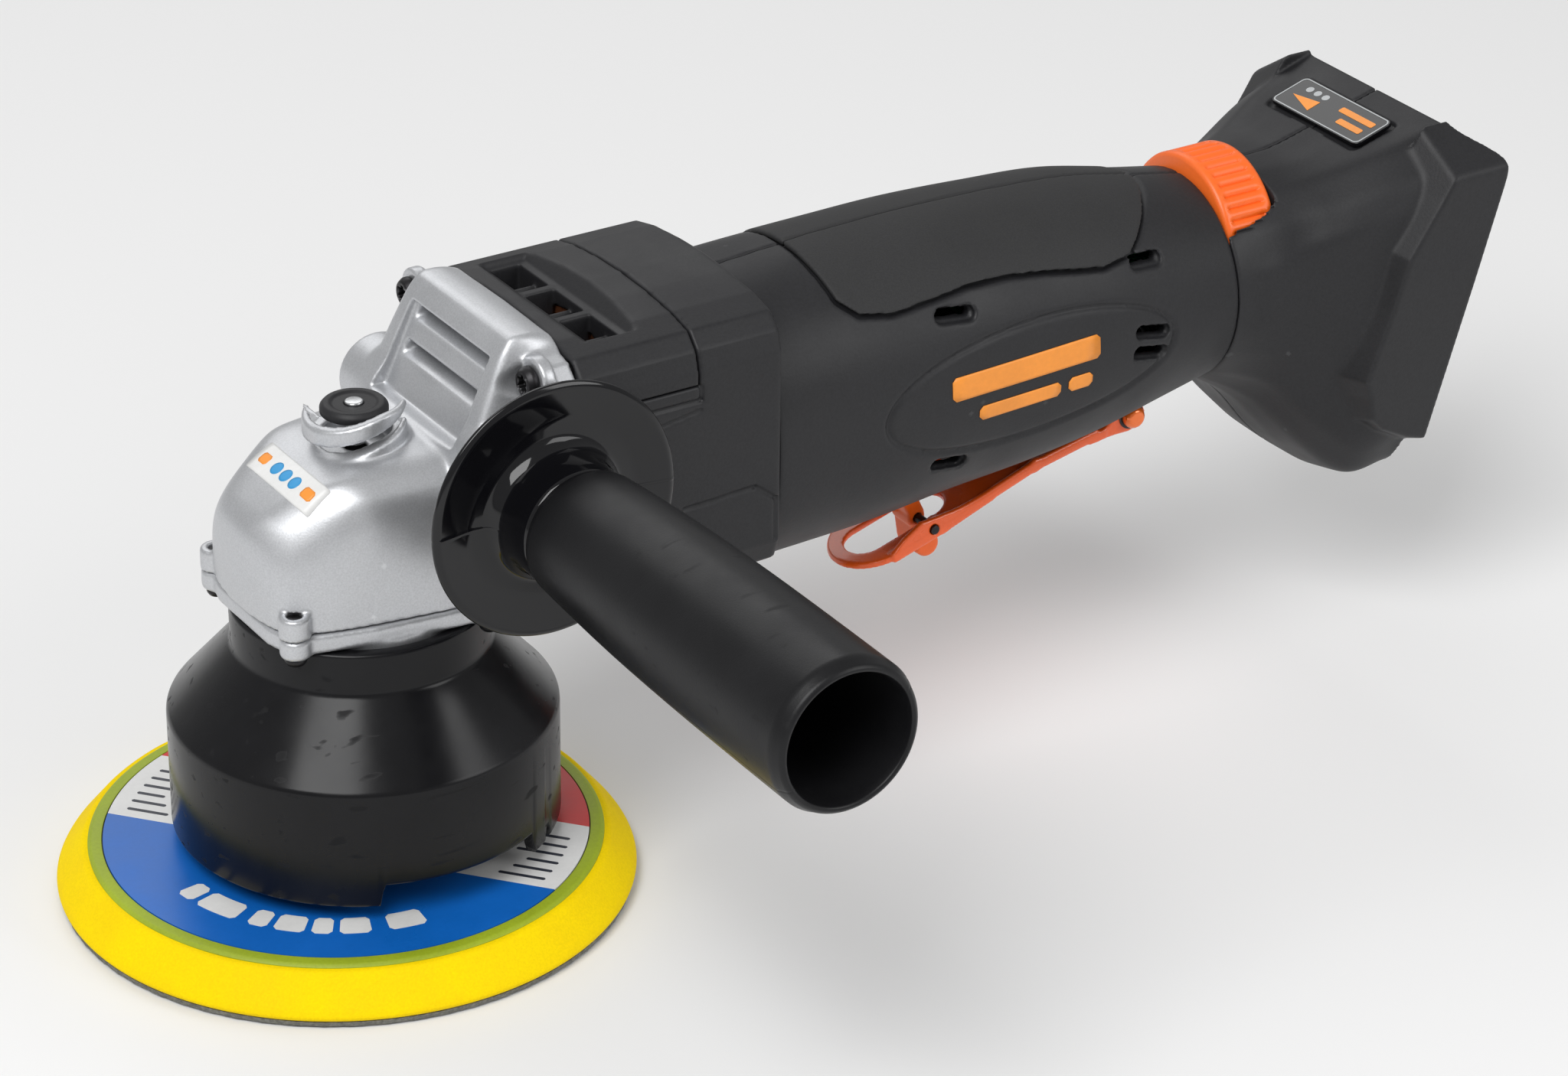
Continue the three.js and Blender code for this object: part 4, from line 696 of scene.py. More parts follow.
# --------------------------------------------------------------- field case
def field_case():
    x, y, z = axes = grid((FIELD_FRONT - 0.5, -FIELD_W - 0.5, FIELD_LOW - 0.5),
                          (FIELD_BACK + 0.5, FIELD_W + 0.5, FIELD_HIGH + 0.5), STEP)
    whole = smooth_max(outline_field(y, z, FIELD_OUTLINE) + 0 * x, slab(x, FIELD_FRONT, FIELD_BACK), 1.4)
    bore = np.minimum(rod_field(y, z - AXIS_Z, x, 27.15, 51.5, 90), rod_field(y, z - AXIS_Z, x, 25, 30, 52.2))
    for side in (-1, 1):
        for height in (SCREW_HIGH, SCREW_LOW):
            bore = np.minimum(bore, rod_field(y - side * SCREW_Y, z - height, x, HEAD_HOLE_R, 20, 50))
    side = FIELD_W - np.abs(y)

    def line(p, q, width=0.45, depth=0.7):
        """Field of a groove along a straight line on the flank."""
        (ax, az), (bx, bz) = p, q
        ex, ez = bx - ax, bz - az
        t = np.clip(((x - ax) * ex + (z - az) * ez) / (ex * ex + ez * ez), 0, 1)
        return np.maximum(np.hypot(x - ax - t * ex, z - az - t * ez) - width, side - depth)

    zone = smooth_max(x - COVER_BACK - 0.3, COVER_LOW - 0.3 - z, 0.3) + 0 * y
    case = np.maximum(whole, -zone)
    grooves = [
        line((49.6, 108.4), (65.0, 108.4)), line((65.0, 108.4), (65.0, 111.6)),
        line((54.5, 104.6), (65.0, 106.2), 0.35, 0.5),
        line((60.5, 83.8), (78.4, 84.6)), line((78.4, 84.6), (83.6, 80.6)), line((83.6, 80.6), (83.6, 71.0)),
    ]
    for groove in grooves:
        case = cut(case, groove, 0.35)
    case = cut(case, bore, 0.4)
    dress(field_object("field_case_shell", case, axes, STEP), "housing", "black_plastic", "field_case")

    zone = smooth_max(x - COVER_BACK, COVER_LOW - z, 0.5) + 0 * y
    cover = smooth_max(whole, zone, 0.5)
    tray = np.maximum(slab(x, 39.8 + (FIELD_HIGH - z) * 1.15, 56.4 - (FIELD_HIGH - z) * 1.05), 122.4 - z)
    cover = cut(cover, smooth_max(tray, np.abs(y) - 23.2 + (FIELD_HIGH - z) * 0.4, 1.0), 0.5)
    for centre in (-14.8, 0, 14.8):
        window = np.maximum(slab(x, 44.2, 51.4), np.abs(y - centre) - 6.2)
        opening = smooth_max(window + 0 * z, 108 - z, 0.5)
        rib = np.abs(y - centre + 0.8) - 0.75
        rib = np.maximum(rib, z - 120.2)
        cover = cut(cover, np.maximum(opening, -rib), 0.4)
    bore = np.minimum(bore, rod_field(y, z - AXIS_Z, x, 27.4, 51.5, 90))
    cover = cut(cover, bore, 0.4)
    dress(field_object("vent_cover_shell", cover, axes, STEP), "housing", "black_plastic", "vent_cover")


# --------------------------------------------------------------------- grip
GRIP = np.array([  # x, half width, half height, centre height, squareness, flat belly
    (85.3, 30.2, 33.6, 88.4, 2.4, 54.5), (100, 30, 34.2, 88.8, 2.3, 55), (118, 29.8, 34.5, 89.3, 2.2, 57.6),
    (138, 29.4, 33.6, 90.4, 2.2, 59.4), (160, 28.8, 32.8, 90.6, 2.1, 61), (180, 28, 30.6, 91.2, 2.1, 62.8),
    (197, 26.4, 27.4, 91.1, 2, 64.3), (211.6, 24.4, 24.6, 91.2, 2, 66.6),
])


def smooth_curve(x, knots, values):
    """Catmull-Rom curve through the values at uneven knots."""
    knots, values = np.asarray(knots, float), np.asarray(values, float)
    slope = np.gradient(values, knots)
    i = np.clip(np.searchsorted(knots, x) - 1, 0, len(knots) - 2)
    h = knots[i + 1] - knots[i]
    t = np.clip((x - knots[i]) / h, 0, 1)
    a, b, c, d = 2 * t**3 - 3 * t**2 + 1, t**3 - 2 * t**2 + t, 3 * t**2 - 2 * t**3, t**3 - t**2
    return a * values[i] + b * h * slope[i] + c * values[i + 1] + d * h * slope[i + 1]


def grip_sizes(x):
    return [smooth_curve(x, GRIP[:, 0], GRIP[:, k]) for k in range(1, 6)]


def grip_field(x, y, z):
    """Nearly the distance to the grip's outside."""
    w, h, mid, n, belly = grip_sizes(x)
    a = np.abs(y) / w
    b = np.abs(z - mid) / h
    g = np.maximum((a**n + b**n) ** (1 / n), 1e-3)
    steep = g ** (1 - n) * np.hypot(a ** (n - 1) / w, b ** (n - 1) / h)
    side = (g - 1) / np.maximum(steep, 0.5 / h)
    return smooth_max(side, belly - z, 3.0)


RUBBER_EDGE = [(105, 140), (104.6, 122), (106, 116.6), (110, 113.6), (118, 112.3), (128, 113.0), (138, 113.9),
               (148, 113.6), (158, 112.4), (168, 110.8), (174, 110), (182, 110.8), (188, 114.2), (193, 117),
               (198, 119), (199, 140)]
PANEL = (152.6, 90.0, 39.4, 13.6, math.radians(1.6))  # middle, half length, half height and tilt of the oval


def oval_vent(x, z, cx, cz, length, tilt):
    c, s = math.cos(math.radians(tilt)), math.sin(math.radians(tilt))
    u, v = (x - cx) * c - (z - cz) * s, (x - cx) * s + (z - cz) * c
    return np.hypot(np.maximum(np.abs(u) - length / 2, 0), v) - 1.6


def grip_shells():
    x, y, z = axes = grid((GRIP_FRONT - 0.5, 0, 54), (GRIP_BACK + 0.5, 31, 124.5), STEP)
    outside = grip_field(x, y, z)
    ends = slab(x, GRIP_FRONT, GRIP_BACK)
    # The oval panel: a groove round it, and a soft shoulder outside the groove.
    px, pz, pa, pb, tilt = PANEL
    c, s = math.cos(tilt), math.sin(tilt)
    u, v = (x - px) * c + (z - pz) * s, (z - pz) * c - (x - px) * s
    q = np.hypot(u / pa, v / pb)
    oval = (q - 1) * q / np.maximum(np.hypot(u / pa**2, v / pb**2), 1e-3)
    shape = outside + 0.45 * np.exp(-(oval / 0.62) ** 2) * 1.6 + 0.12 * np.clip(-oval, 0, 1)
    shell = smooth_max(smooth_max(shape, -(outside + 2.4), 0.3), ends, 0.6)
    shell = smooth_max(shell, HALF_SEAM - y, 0.35)
    edge = outline_field(x, z, RUBBER_EDGE)
    seat = np.maximum(edge - 0.9, -(outside + 1.35))
    inner = np.maximum(-(outside + 2.9), outside + 1.35)
    floor = np.maximum(np.maximum(edge - 3.0, inner), ends)
    shell = smooth_min(shell, smooth_max(floor, HALF_SEAM - y, 0.3), 0.3)
    shell = cut(shell, seat, 0.4)
    vents = ((133, 109, 7, 6), (131.5, 74.4, 7, 10), (186, 108.4, 6, 6),
             (185.6, 93, 7, 12), (185.2, 88, 7, 12))  # middle, length and tilt of each
    for spot in vents:
        hole = oval_vent(x, z, *spot)
        shell = cut(shell, smooth_max(hole, 12 - y, 0.3), 0.5)
        rim = np.maximum(np.abs(hole) - 0.6, np.maximum(outside + 1.5, -(outside + 3.6)))
        shell = smooth_min(shell, rim, 0.3)
    lug = rod_field(x - LEVER_X, z - LEVER_Z, y, 4.6, -9, 8.8)
    shell = smooth_min(shell, np.maximum(lug, HALF_SEAM - y), 0.5)
    seat_ring = np.maximum(np.hypot(y, z - AXIS_Z) - 12, slab(x, 114, 122))
    bridge = np.maximum(slab(x, 115, 121), np.maximum(np.abs(z - AXIS_Z) - 3, outside + 1))
    shell = np.minimum(shell, np.maximum(np.minimum(seat_ring, bridge), HALF_SEAM - y))
    for a, b in SHELL_SCREWS:
        pillar = rod_field(x - a, z - b, y, 4, -40, 40)
        shell = smooth_min(shell, np.maximum(np.maximum(pillar, outside + 1), HALF_SEAM - y), 0.8)
        shell = cut(shell, rod_field(x - a, z - b, y, 1.75, -17.3, 17.3), 0.2)
    cuts = [
        rod_field(y, z - AXIS_Z, x, 8.05, 100, 130), rod_field(x - LEVER_X, z - LEVER_Z, y, 2.05, -20, 20),
        rod_field(x - LEVER_X, z - LEVER_Z, y, 4.9, 8.8, 16),
        box_field(x, y, z, (126, -6, 50), (147, 6, 66), 1.0), rod_field(x - 156, y, z, 2.9, 50, 75),
    ]
    for hole in cuts:
        shell = cut(shell, hole, 0.4)
    right = mirrored("grip_shell_right_moulding", field_object("half_grip", shell, axes, STEP))
    dress(right, "housing", "black_plastic", "grip_shell_right")
    for a, b in SHELL_SCREWS:
        shell = cut(shell, rod_field(x - a, z - b, y, 3.5, 19, 40), 0.5)
    bpy.data.objects.remove(bpy.data.objects["half_grip"])
    left = field_object("grip_shell_left_moulding", shell, axes, STEP)
    dress(left, "housing", "black_plastic", "grip_shell_left")

    skin = smooth_max(smooth_max(outside - 0.35, -(outside + 1.2), 0.3), edge, 0.7)
    skin = smooth_max(skin, HALF_SEAM - y, 0.35)
    left = field_object("grip_rubber_left_pad", skin, axes, STEP)
    right = mirrored("grip_rubber_right_pad", left)
    dress(left, "housing", "grip_rubber", "grip_rubber_left")
    dress(right, "housing", "grip_rubber", "grip_rubber_right")


# --------------------------------------------------------------------- foot
FOOT_MIDDLE = 86.0
FOOT_FROM, FOOT_SPAN = -2.0, 72.0


def foot_sections():
    """Half sections as (x behind the circular seam, y, z), from the top centre to the bottom centre."""
    t = math.pi * (0.5 - np.arange(25) / 24)
    return [
        [(0.3, 24.4 * math.cos(a), 91.2 + 24.4 * math.sin(a)) for a in t],
        [(14.4, 0, 116.1), (14.4, 8, 115.6), (14.4, 15, 112.8), (14.4, 20.5, 107.4), (14.4, 24.2, 99),
         (14.4, 24.8, 90), (14.4, 24.2, 77), (14.4, 21.5, 67), (14.4, 15, 60),
         (14.4, 8, 57.6), (14.4, 0, 57)],
        [(24.4, 0, 116.4), (24.4, 9, 116), (24.4, 17, 114.6), (24.4, 24, 110), (23.4, 28, 104),
         (22.9, 28.4, 90), (22.9, 28.6, 74), (22.9, 28.4, 58), (24, 23.5, 48.6), (24.4, 11, 45.6),
         (24.4, 0, 45.2)],
        [(38.4, 0, 119.6), (38.4, 11, 119.5), (38.4, 22, 119.2), (40.4, 30, 114.4), (38.9, 32.4, 108),
         (32.0, 32.6, 90), (28.4, 32.8, 70), (28.4, 32.6, 54), (30.4, 28, 43.6), (31, 13, 39.8),
         (31, 0, 39.4)],
        [(56.4, 0, 124.3), (56.4, 13, 124.3), (56.4, 26.5, 124.3), (65.4, 34.2, 117.6), (65.8, 33.9, 113),
         (58.4, 33.8, 90), (51, 33.8, 68), (45.8, 33.4, 53), (42.8, 30.4, 44.4),
         (41.4, 14, 40), (41.4, 0, 39.6)],
    ]


def polar(section, angles):
    """Radius and x of a section where it crosses each direction from the foot's middle line."""
    p = np.array(section, float)
    radius, along = np.zeros(len(angles)), np.zeros(len(angles))
    for k, angle in enumerate(angles):
        c, s = math.cos(angle), math.sin(angle)
        for (x0, y0, z0), (x1, y1, z1) in zip(p, p[1:]):
            z0, z1 = z0 - FOOT_MIDDLE, z1 - FOOT_MIDDLE
            d0, d1 = y0 * s - z0 * c, y1 * s - z1 * c
            if d0 * d1 <= 0 and d0 != d1:
                t = d0 / (d0 - d1)
                radius[k] = max(radius[k], (y0 + t * (y1 - y0)) * c + (z0 + t * (z1 - z0)) * s)
                along[k] = x0 + t * (x1 - x0)
    return radius, along


def foot_tables():
    angles = np.radians(np.linspace(-90, 90, 361))
    pad = 14
    kernel = np.exp(-np.linspace(-2.2, 2.2, 2 * pad + 1) ** 2)
    kernel /= kernel.sum()

    def soften(row):
        return np.convolve(np.concatenate([row[pad:0:-1], row, row[-2:-pad - 2:-1]]), kernel, "valid")

    rows = [[soften(v) for v in polar(s, angles)] for s in foot_sections()]
    u = np.linspace(FOOT_FROM, FOOT_FROM + FOOT_SPAN, 289)
    table = np.zeros((len(u), len(angles)))
    for k in range(len(angles)):
        knots = np.maximum.accumulate(np.array([row[1][k] for row in rows]) + np.arange(5) * 0.01)
        table[:, k] = smooth_curve(u, knots, [row[0][k] for row in rows])
    return table, rows[-1][1]


def lookup(table, i, j):
    """Values of a table at fractional rows and columns."""
    i = np.clip(i, 0, table.shape[0] - 1.001)
    j = np.clip(j, 0, table.shape[1] - 1.001)
    a, b = i.astype(int), j.astype(int)
    fi, fj = i - a, j - b
    return ((table[a, b] * (1 - fj) + table[a, b + 1] * fj) * (1 - fi)
            + (table[a + 1, b] * (1 - fj) + table[a + 1, b + 1] * fj) * fi)


def slant(z):
    return GRIP_BACK + 45 + (z - 50) * 0.33


def slanted(x, y, z, near, far, y0, y1, z0, z1):
    """Body between two planes parallel to the battery's mating plane."""
    along = (x - slant(z)) * 0.95
    level = smooth_max(slab(along, near * 0.95, far * 0.95), slab(y, y0, y1), 0.4)
    return smooth_max(level, slab(z, z0, z1), 0.4)


def foot():
    x, y, z = axes = grid((GRIP_BACK - 0.3, 0, 38.8), (GRIP_BACK + 66.6, 38.4, 125), STEP)
    table, rear = foot_tables()
    theta = np.degrees(np.arctan2(z - FOOT_MIDDLE, np.maximum(y, 0))) + 0 * x
    rho = np.hypot(y, z - FOOT_MIDDLE) + 0 * x
    j = (theta + 90) * 2
    i = (x - GRIP_BACK - FOOT_FROM) * 4 + 0 * theta
    radius = lookup(table, i, j)
    lean_u = lookup(np.gradient(table, 0.25, axis=0), i, j)
    lean_t = lookup(np.gradient(table, math.radians(0.5), axis=1), i, j) / np.maximum(rho, 8)
    side = (rho - radius) / np.sqrt(1 + lean_u**2 + lean_t**2)
    end = lookup(np.tile(rear, (2, 1)), 0 * j, j)
    behind = (x - GRIP_BACK - end) * 0.93
    # The flat raised flank in front of the battery, with its steep step and rounded lower corner.
    flank = [(GRIP_BACK + a, b) for a, b in ((27.6, 66), (28.6, 60), (33, 56), (41, 52), (80, 40), (80, 128),
                                             (52.6, 124.8), (45.2, 113), (36.4, 100), (32.5, 88), (26, 71))]
    raised = outline_field(x, z, flank)
    roof = (y - 26.5) * 0.553 + (z - 124.3) * 0.833
    plateau = smooth_max(smooth_max(raised + (y - 33) * 0.42, y - 37.7, 0.6) + 0 * x, roof + 0 * x, 1.2)
    plateau = np.maximum(plateau, 25 - y)
    outside = smooth_min(smooth_max(side, roof, 1.0), plateau, 0.8)
    front = GRIP_BACK + 0.3 - x
    shell = smooth_max(outside, -(side + 2.8), 0.4)
    shell = smooth_max(smooth_max(shell, behind, 0.5), front, 0.5)
    inner = np.maximum(side + 1, HALF_SEAM - y)
    floor = np.maximum(slanted(x, y, z, -17, -14.5, -40, 40, 46, 112), inner)
    rail = np.maximum(slanted(x, y, z, -15, -6, 24, 32, 56, 104), inner)
    shell = smooth_min(smooth_min(shell, floor, 0.6), rail, 0.4)
    shell = cut(shell, box_field(x, y, z, (slant(80) - 26, -19, 70), (slant(80) - 8, 19, 92), 0.4), 0.3)
    shell = cut(shell, rod_field(y, z - DIAL_Z, x, DIAL_R + 0.6, GRIP_BACK - 1, DIAL_HIGH[0] + 0.4), 0.4)
    mid = middle("charge_display")[0]
    pocket = smooth_max(smooth_max(slab(x, mid - 6.3, mid + 6.5), np.abs(y) - 16.4, 1.6), 100 - z, 0.4)
    shell = cut(shell, np.maximum(pocket, -(side + 0.9)), 0.3)
    shell = smooth_max(shell, HALF_SEAM - y, 0.3)
    left = field_object("foot_left_moulding", shell, axes, STEP)
    right = mirrored("foot_right_moulding", left)
    dress(left, "housing", "black_plastic", "foot_left")
    dress(right, "housing", "black_plastic", "foot_right")


bearing_plate()
shroud()
fasteners()
lock_button()
field_case()
grip_shells()
foot()


# ---------------------------------------------------------------------- pad
LABEL_NORMAL = (0.758, 0.653)  # across the label's three printed bands, from the pad's centre
LABEL_ALONG = (0.653, -0.758)


def prism(name, outline, z0, z1):
    """A flat outline of (x, y) points raised from z0 to z1."""
    n = len(outline)
    vertices = [(x, y, z0) for x, y in outline] + [(x, y, z1) for x, y in outline]
    faces = [list(range(n))[::-1], list(range(n, 2 * n))]
    faces += [(i, (i + 1) % n, n + (i + 1) % n, n + i) for i in range(n)]
    piece = mesh_object(name, vertices, faces, smooth=False)
    with opened(piece) as bm:
        bmesh.ops.recalc_face_normals(bm, faces=bm.faces)
    return piece


def arc_bar(start, end, inner, outer, corner=0.9):
    """Outline of a bar bent round the pad's centre, with cut corners, in degrees and millimetres."""
    turn = math.degrees(corner / outer)
    points = [(outer, a) for a in np.linspace(start + turn, end - turn, 14)]
    points += [(outer - corner, end), (inner + corner, end)]
    points += [(inner, a) for a in np.linspace(end - turn, start + turn, 14)]
    points += [(inner + corner, start), (outer - corner, start)]
    return [(r * math.cos(math.radians(a)), r * math.sin(math.radians(a))) for r, a in points]


def bar(cx, cy, length, width, direction, corner=0.3):
    """Outline of a straight bar with cut corners."""
    (ux, uy), (vx, vy) = direction, (-direction[1], direction[0])
    a, b, c = length / 2, width / 2, min(corner, width / 2.2)
    local = [(-a + c, -b), (a - c, -b), (a, -b + c), (a, b - c), (a - c, b),
             (-a + c, b), (-a, b - c), (-a, -b + c)]
    return [(cx + u * ux + v * vx, cy + u * uy + v * vy) for u, v in local]


def label_band(name, low, high, material):
    """The part of the label ring between two chords."""
    ring = [(14, LABEL_Z - 0.35), (LABEL_R - 0.05, LABEL_Z - 0.35), (LABEL_R, LABEL_Z - 0.3),
            (LABEL_R - 0.05, LABEL_Z), (14, LABEL_Z)]
    piece = lathe(name, ring + ring[:1], 360)
    normal = Vector((*LABEL_NORMAL, 0))
    with opened(piece) as bm:
        for limit, sign in ((low, -1), (high, 1)):
            if limit is None:
                continue
            geometry = bm.verts[:] + bm.edges[:] + bm.faces[:]
            bmesh.ops.bisect_plane(bm, geom=geometry, plane_co=normal * limit * MM, plane_no=normal * sign,
                                   clear_outer=True)
            bmesh.ops.holes_fill(bm, edges=[e for e in bm.edges if e.is_boundary], sides=0)
        for face in bm.faces:
            face.smooth = False
        bmesh.ops.recalc_face_normals(bm, faces=bm.faces)
    moved(piece, at(PAD_X, 0, 0))
    return dress(piece, "pad", "pad_print", "pad_label", material=material)


def pad():
    low = FOAM_LOW
    centre = at(PAD_X, 0, 0)
    outline = ring([(8, low), (PAD_R - 0.8, low), (PAD_R, low + 1.1), (PAD_R - 0.7, low + 2.6),
                    (LABEL_R + 4.4, FOAM_TOP - 0.1), (LABEL_R + 2.9, FOAM_TOP),
                    (LABEL_R + 2.6, FOAM_TOP - 1.0), (LABEL_R + 2.6, 6), (43.6, 6), (43.6, 7.8),
                    (8, 7.8)], 1.3, 6)

    def soft(r, z, a):
        top = np.clip((z - low - 2) / 4, 0, 1)
        return r + 0.10 * top * (np.sin(7 * a) + 0.6 * np.sin(17 * a + 1)), z

    foam = turned("pad_foam_ring", outline, 288, centre, "pad", "pad_foam", "pad_foam", change=soft)

    def frayed(r, z, a):
        return r * (1 + 0.0009 * np.sin(61 * a) + 0.0007 * np.sin(147 * a + 2)), z

    hook = fillet([(0, 0), (PAD_R - 0.9, 0), (PAD_R - 0.7, low - 0.06), (0, low - 0.06)], 0.25)
    turned("pad_hook_layer", hook, 480, centre, "pad", "hook_fabric", "pad_hook", change=frayed)
    plate = ring([(4.05, 8.2), (44, 8.2), (44, 6.4), (54.4, 6.4), (54.4, 8.6), (53.2, FOAM_TOP + 0.4),
                  (13, FOAM_TOP + 0.4), (13, 15), (8.5, 23.4), (4.05, 23.4)], 0.5, 4)
    turned("pad_plate_disc", plate, 240, centre, "pad", "black_plastic", "pad_plate")
    rim = ring([(52.4, 10.62), (53.4, 10.62), (54.46, 8.8), (54.75, 8.8), (LABEL_R + 3.3, FOAM_TOP + 0.12),
                (LABEL_R + 2.4, FOAM_TOP + 0.65), (52.4, 11.0)], 0.25, 4)
    turned("pad_green_rim", rim, 288, centre, "pad", "pad_print", material=OLIVE)

    label_band("pad_label_red", 15.6, None, RED)
    label_band("pad_label_white", -10.8, 15.6, WHITE)
    label_band("pad_label_blue", None, -10.8, BLUE)
    spans = [(-173, -167), (-165, -151), (-147, -141), (-139, -130), (-128, -122), (-120, -111), (-106, -95)]
    white = [prism(f"arc_{i}", arc_bar(*span, 37.4, 43.4), LABEL_Z, LABEL_Z + 0.06)
             for i, span in enumerate(spans)]
    dress(moved(joined("pad_label_arc_bars", white), centre), "pad", "pad_print", material=WHITE)
    dark = []
    for side, length in ((1, 10.5), (-1, 9.5)):
        for row in range(6):
            s = -7.6 + 3.4 * row
            far = math.sqrt((LABEL_R - 3) ** 2 - s * s)
            size = length * (1 - 0.16 * (row % 3))
            t = side * (far - size / 2 - 0.8)
            cx, cy = t * LABEL_ALONG[0] + s * LABEL_NORMAL[0], t * LABEL_ALONG[1] + s * LABEL_NORMAL[1]
            line = bar(cx, cy, size, 0.95, LABEL_ALONG)
            dark.append(prism(f"row_{side}_{row}", line, LABEL_Z, LABEL_Z + 0.05))
    dress(moved(joined("pad_label_rows", dark), centre), "pad", "pad_print", material=INK)


# -------------------------------------------------------------- side handle
def handle():
    turn = at(HANDLE_X, -BOSS_Y, HANDLE_Z, TO_MINUS_Y)
    stud = [(0, -14), (3.5, -14), (4, -13.4)]
    for k in range(15):
        stud += [(4, -13 + k * 0.8), (3.55, -12.6 + k * 0.8)]
    stud += [(4, -0.6), (4, 33), (0, 33)]
    turned("handle_stud_threaded", stud, 64, turn, "side_handle", "bright_steel", "handle_stud")
    flange = ring([(4.05, 0.3), (11, 0.3), (12.4, 3), (14, 8), (17, 11), (27.2, 13.1), (28.2, 13.9),
                   (28.2, 14.7), (27.0, 15.3), (19.5, 13.9), (15.6, 14.4), (13.9, 16.6), (13.5, 19),
                   (13.2, 26), (9, 26),
                   (9, 34), (4.05, 34)], 1.2, 6)

    def mould_line(r, z, a):
        away = np.abs((a + math.pi / 2) % math.pi - math.pi / 2) * r
        ridge = 0.14 * np.exp(-(away / 0.22) ** 2)
        return r, z + np.where((r > 12) & (z > 13), ridge, 0)

    turned("handle_guard", flange, 512, turn, "side_handle", "gloss_black", "handle_flange",
           change=mould_line)
    end = HANDLE_END - BOSS_Y
    outer = [(smooth_curve(np.array(v), (27, 38, 56, 76, 100, 124), (14.0, 14.7, 15.6, 16.1, 16.3, 16.3)), v)
             for v in np.linspace(28.5, end - 4, 14)]
    rounded = fillet([(15.95, end - 2.2), (15.4, end - 0.6), (14.6, end), (13.9, end - 0.3),
                      (13.6, end - 2)], 1.0, 5)
    inner = [(13.45, 60), (9.1, 52)]
    start = [(9.1, 26.3), (13.2, 26.3), (13.8, 26.8)]
    grip = start + outer + [(16.28, end - 3)] + rounded + inner + start[:1]

    def parting(r, z, a):
        away = np.abs((a - 0.5 + math.pi / 2) % math.pi - math.pi / 2) * r
        return np.where(r > 13.9, r - 0.10 * np.exp(-(away / 0.22) ** 2), r), z

    turned("handle_grip_sleeve", grip, 512, turn, "side_handle", "handle_black", "handle_grip",
           change=parting)


# --------------------------------------------------------- dial and display
def dial():
    thick = DIAL_HIGH[0] - DIAL_LOW[0]
    rim = [(17.6, 0), (18.5, 0.35), (DIAL_R, 1.1), (DIAL_R, 2.0), (18.35, 2.5)]
    outline = [(3.05, 0)] + rim + [(18.3, v) for v in np.linspace(3.2, thick - 3.2, 5)]
    outline += [(r, thick - v) for r, v in rim[::-1]] + [(3.05, thick), (3.05, 0)]

    def ribs(r, z, a):
        middle_part = (r > 18.2) & (z > 2.3) & (z < thick - 2.3)
        return np.where(middle_part, DIAL_R - 0.75 + 0.75 * np.abs(np.sin(20 * a)) ** 0.8, r), z

    wheel = moved(lathe("speed_dial_wheel", outline, 720, ribs), at(DIAL_LOW[0], 0, DIAL_Z, TO_X))
    dress(smooth_by_angle(wheel, 50), "speed_dial", "orange_plastic", "speed_dial")


def round_rectangle(half_x, half_y, corner, steps=8):
    points = []
    for sx, sy, first in ((1, 1, 0), (-1, 1, 90), (-1, -1, 180), (1, -1, 270)):
        for a in np.radians(np.linspace(first, first + 90, steps)):
            x = sx * (half_x - corner) + corner * math.cos(a)
            y = sy * (half_y - corner) + corner * math.sin(a)
            points.append((x, y))
    return points


def display():
    m = middle("charge_display")
    place = at(m[0], 0, m[2], Matrix.Rotation(-0.3, 4, "Y"))
    plate = bevelled(prism("charge_display_window", round_rectangle(5.6, 16, 1.6), -0.6, 0.42), 0.18)
    dress(moved(plate, place), "housing", "gloss_black", "charge_display")
    outer, inner = round_rectangle(5.25, 15.6, 1.4), round_rectangle(4.95, 15.3, 1.15)
    n = len(outer)
    top = [(*p, 0.50) for p in outer + inner]
    low = [(*p, 0.40) for p in outer + inner]
    faces = []
    for i in range(n):
        j = (i + 1) % n
        faces += [(i, j, n + j, n + i), (2 * n + i, 3 * n + i, 3 * n + j, 2 * n + j),
                  (i, 2 * n + i, 2 * n + j, j), (n + i, n + j, 3 * n + j, 3 * n + i)]
    frame_line = mesh_object("charge_display_frame", top + low, faces, smooth=False)
    dress(moved(frame_line, place), "housing", "gloss_black", material=SILVER_PRINT)
    dots = [prism(f"dot_{i}", disc(2.5, y, 1, 23), 0.42, 0.5) for i, y in enumerate((10.8, 7.9, 5.0))]
    dress(moved(joined("charge_display_dots", dots), place), "housing", "gloss_black", material=SILVER_PRINT)
    marks = [prism("wedge", [(-0.9, 13.0), (-3.4, 4.6), (0.5, 4.6)], 0.42, 0.5)]
    marks += [prism("bar_a", bar(1.7, -7.6, 12.0, 1.8, (0, 1)), 0.42, 0.5)]
    marks += [prism("bar_b", bar(-1.7, -8.8, 8.4, 1.8, (0, 1)), 0.42, 0.5)]
    dress(moved(joined("charge_display_marks", marks), place), "housing", "gloss_black", material=PRINT)


# -------------------------------------------------------------------- lever
SHEET = 1.5
LEVER_LINE = [(-6.0, -2.0), (-26, -6.2), (-51, -14.8), (-74, -21.7)]  # top of the sheet, from the pivot


def polyline_field(u, v, points):
    """Distance to an open line in one plane."""
    best = None
    for (ax, ay), (bx, by) in zip(points, points[1:]):
        ex, ey = bx - ax, by - ay
        t = np.clip(((u - ax) * ex + (v - ay) * ey) / (ex * ex + ey * ey), 0, 1)
        gap = np.hypot(u - ax - t * ex, v - ay - t * ey)
        best = gap if best is None else smooth_min(best, gap, 1.2)
    return best


